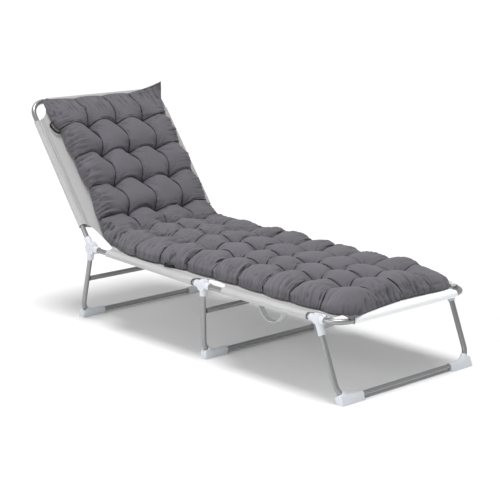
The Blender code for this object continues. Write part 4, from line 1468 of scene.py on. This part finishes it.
class LOUNGER_OT_stage(Operator):
    """Set up the floor, the light and the camera"""

    bl_idname = "lounger.stage"
    bl_label = "Stage"

    def execute(self, context):
        scene = context.scene
        stage = scene.stage_settings
        deselect()
        bpy.ops.mesh.primitive_plane_add(size=60.0, location=(0, 0, 0))
        floor = new_primitive("studio_floor")
        made, _, shader = new_material("studio_floor", Specular_IOR_Level=0.0, Roughness=1.0)
        shader.inputs["Base Color"].default_value = rgba(stage.floor)
        floor.data.materials.append(made)

        world = bpy.data.worlds.new("studio")
        world.use_nodes = True
        sky = world.node_tree
        background = sky.nodes["Background"]
        background.inputs["Color"].default_value = (1, 1, 1, 1)
        seen = sky.nodes.new('ShaderNodeLightPath').outputs["Is Camera Ray"]
        sky.links.new(map_range(sky, seen, 0.0, 1.0, stage.sky, 1.05), background.inputs["Strength"])
        scene.world = world

        lamp_data = bpy.data.lights.new("overhead", 'SUN')
        lamp_data.energy = stage.overhead
        lamp_data.angle = stage.overhead_spread
        lamp = bpy.data.objects.new("overhead", lamp_data)
        lamp.location = (0.0, 0.0, 3.2)
        scene.collection.objects.link(lamp)

        card_data = bpy.data.lights.new("near_side", 'AREA')
        card_data.shape = 'RECTANGLE'
        card_data.size = 2.0
        card_data.size_y = 1.2
        card_data.energy = stage.side
        card = bpy.data.objects.new("near_side", card_data)
        card.location = (0.5, -2.6, 1.3)
        aim = Vector((0.3, 0.0, 0.3)) - card.location
        card.rotation_euler = aim.to_track_quat('-Z', 'Y').to_euler()
        scene.collection.objects.link(card)

        camera_data = bpy.data.cameras.new("camera")
        camera_data.lens = CAMERA_LENS
        camera_data.sensor_width = SENSOR_WIDTH
        camera_data.sensor_fit = 'HORIZONTAL'
        camera_data.clip_end = 200.0
        camera = bpy.data.objects.new("camera", camera_data)
        level = math.cos(CAMERA_PITCH)
        ahead = Vector((
            -math.sin(CAMERA_YAW) * level, math.cos(CAMERA_YAW) * level, -math.sin(CAMERA_PITCH)))
        right = Vector((math.cos(CAMERA_YAW), math.sin(CAMERA_YAW), 0))
        above = right.cross(ahead)
        turn, lean = math.cos(CAMERA_ROLL), math.sin(CAMERA_ROLL)
        rolled_right = right * turn + above * lean
        rolled_above = above * turn - right * lean
        pose = Matrix((rolled_right, rolled_above, -ahead)).transposed().to_4x4()
        camera.matrix_world = Matrix.Translation(CAMERA_PLACE) @ pose
        scene.collection.objects.link(camera)
        scene.camera = camera
        scene.view_settings.view_transform = 'Standard'
        return {'FINISHED'}


class LOUNGER_PT_panel(Panel):
    """Buttons and settings of the lounger and its cushion"""

    bl_idname = "LOUNGER_PT_panel"
    bl_label = "Sun lounger cushion"
    bl_space_type = 'VIEW_3D'
    bl_region_type = 'UI'
    bl_category = "Lounger"

    def draw(self, context):
        for name in SETTINGS:
            settings = getattr(context.scene, name)
            box = self.layout.box()
            for field in settings.bl_rna.properties:
                if field.identifier not in ("name", "rna_type"):
                    box.prop(settings, field.identifier)
        for operator in OPERATORS:
            self.layout.operator(operator.bl_idname)


SETTINGS = {
    "cushion_settings": CushionSettings,
    "lounger_settings": LoungerSettings,
    "stage_settings": StageSettings,
}
OPERATORS = (
    LOUNGER_OT_tubes,
    LOUNGER_OT_fittings,
    LOUNGER_OT_sling,
    LOUNGER_OT_cushion,
    LOUNGER_OT_bands,
    LOUNGER_OT_stage,
)


def register():
    for thing in (*SETTINGS.values(), *OPERATORS, LOUNGER_PT_panel):
        bpy.utils.register_class(thing)
    for name, settings in SETTINGS.items():
        setattr(bpy.types.Scene, name, PointerProperty(type=settings))


def unregister():
    for name in SETTINGS:
        delattr(bpy.types.Scene, name)
    for thing in (LOUNGER_PT_panel, *reversed(OPERATORS), *reversed(SETTINGS.values())):
        bpy.utils.unregister_class(thing)


def main():
    register()
    bpy.ops.lounger.tubes()
    bpy.ops.lounger.fittings()
    bpy.ops.lounger.sling()
    bpy.ops.lounger.cushion()
    bpy.ops.lounger.bands()
    bpy.ops.lounger.stage()


if __name__ == "__main__":
    main()
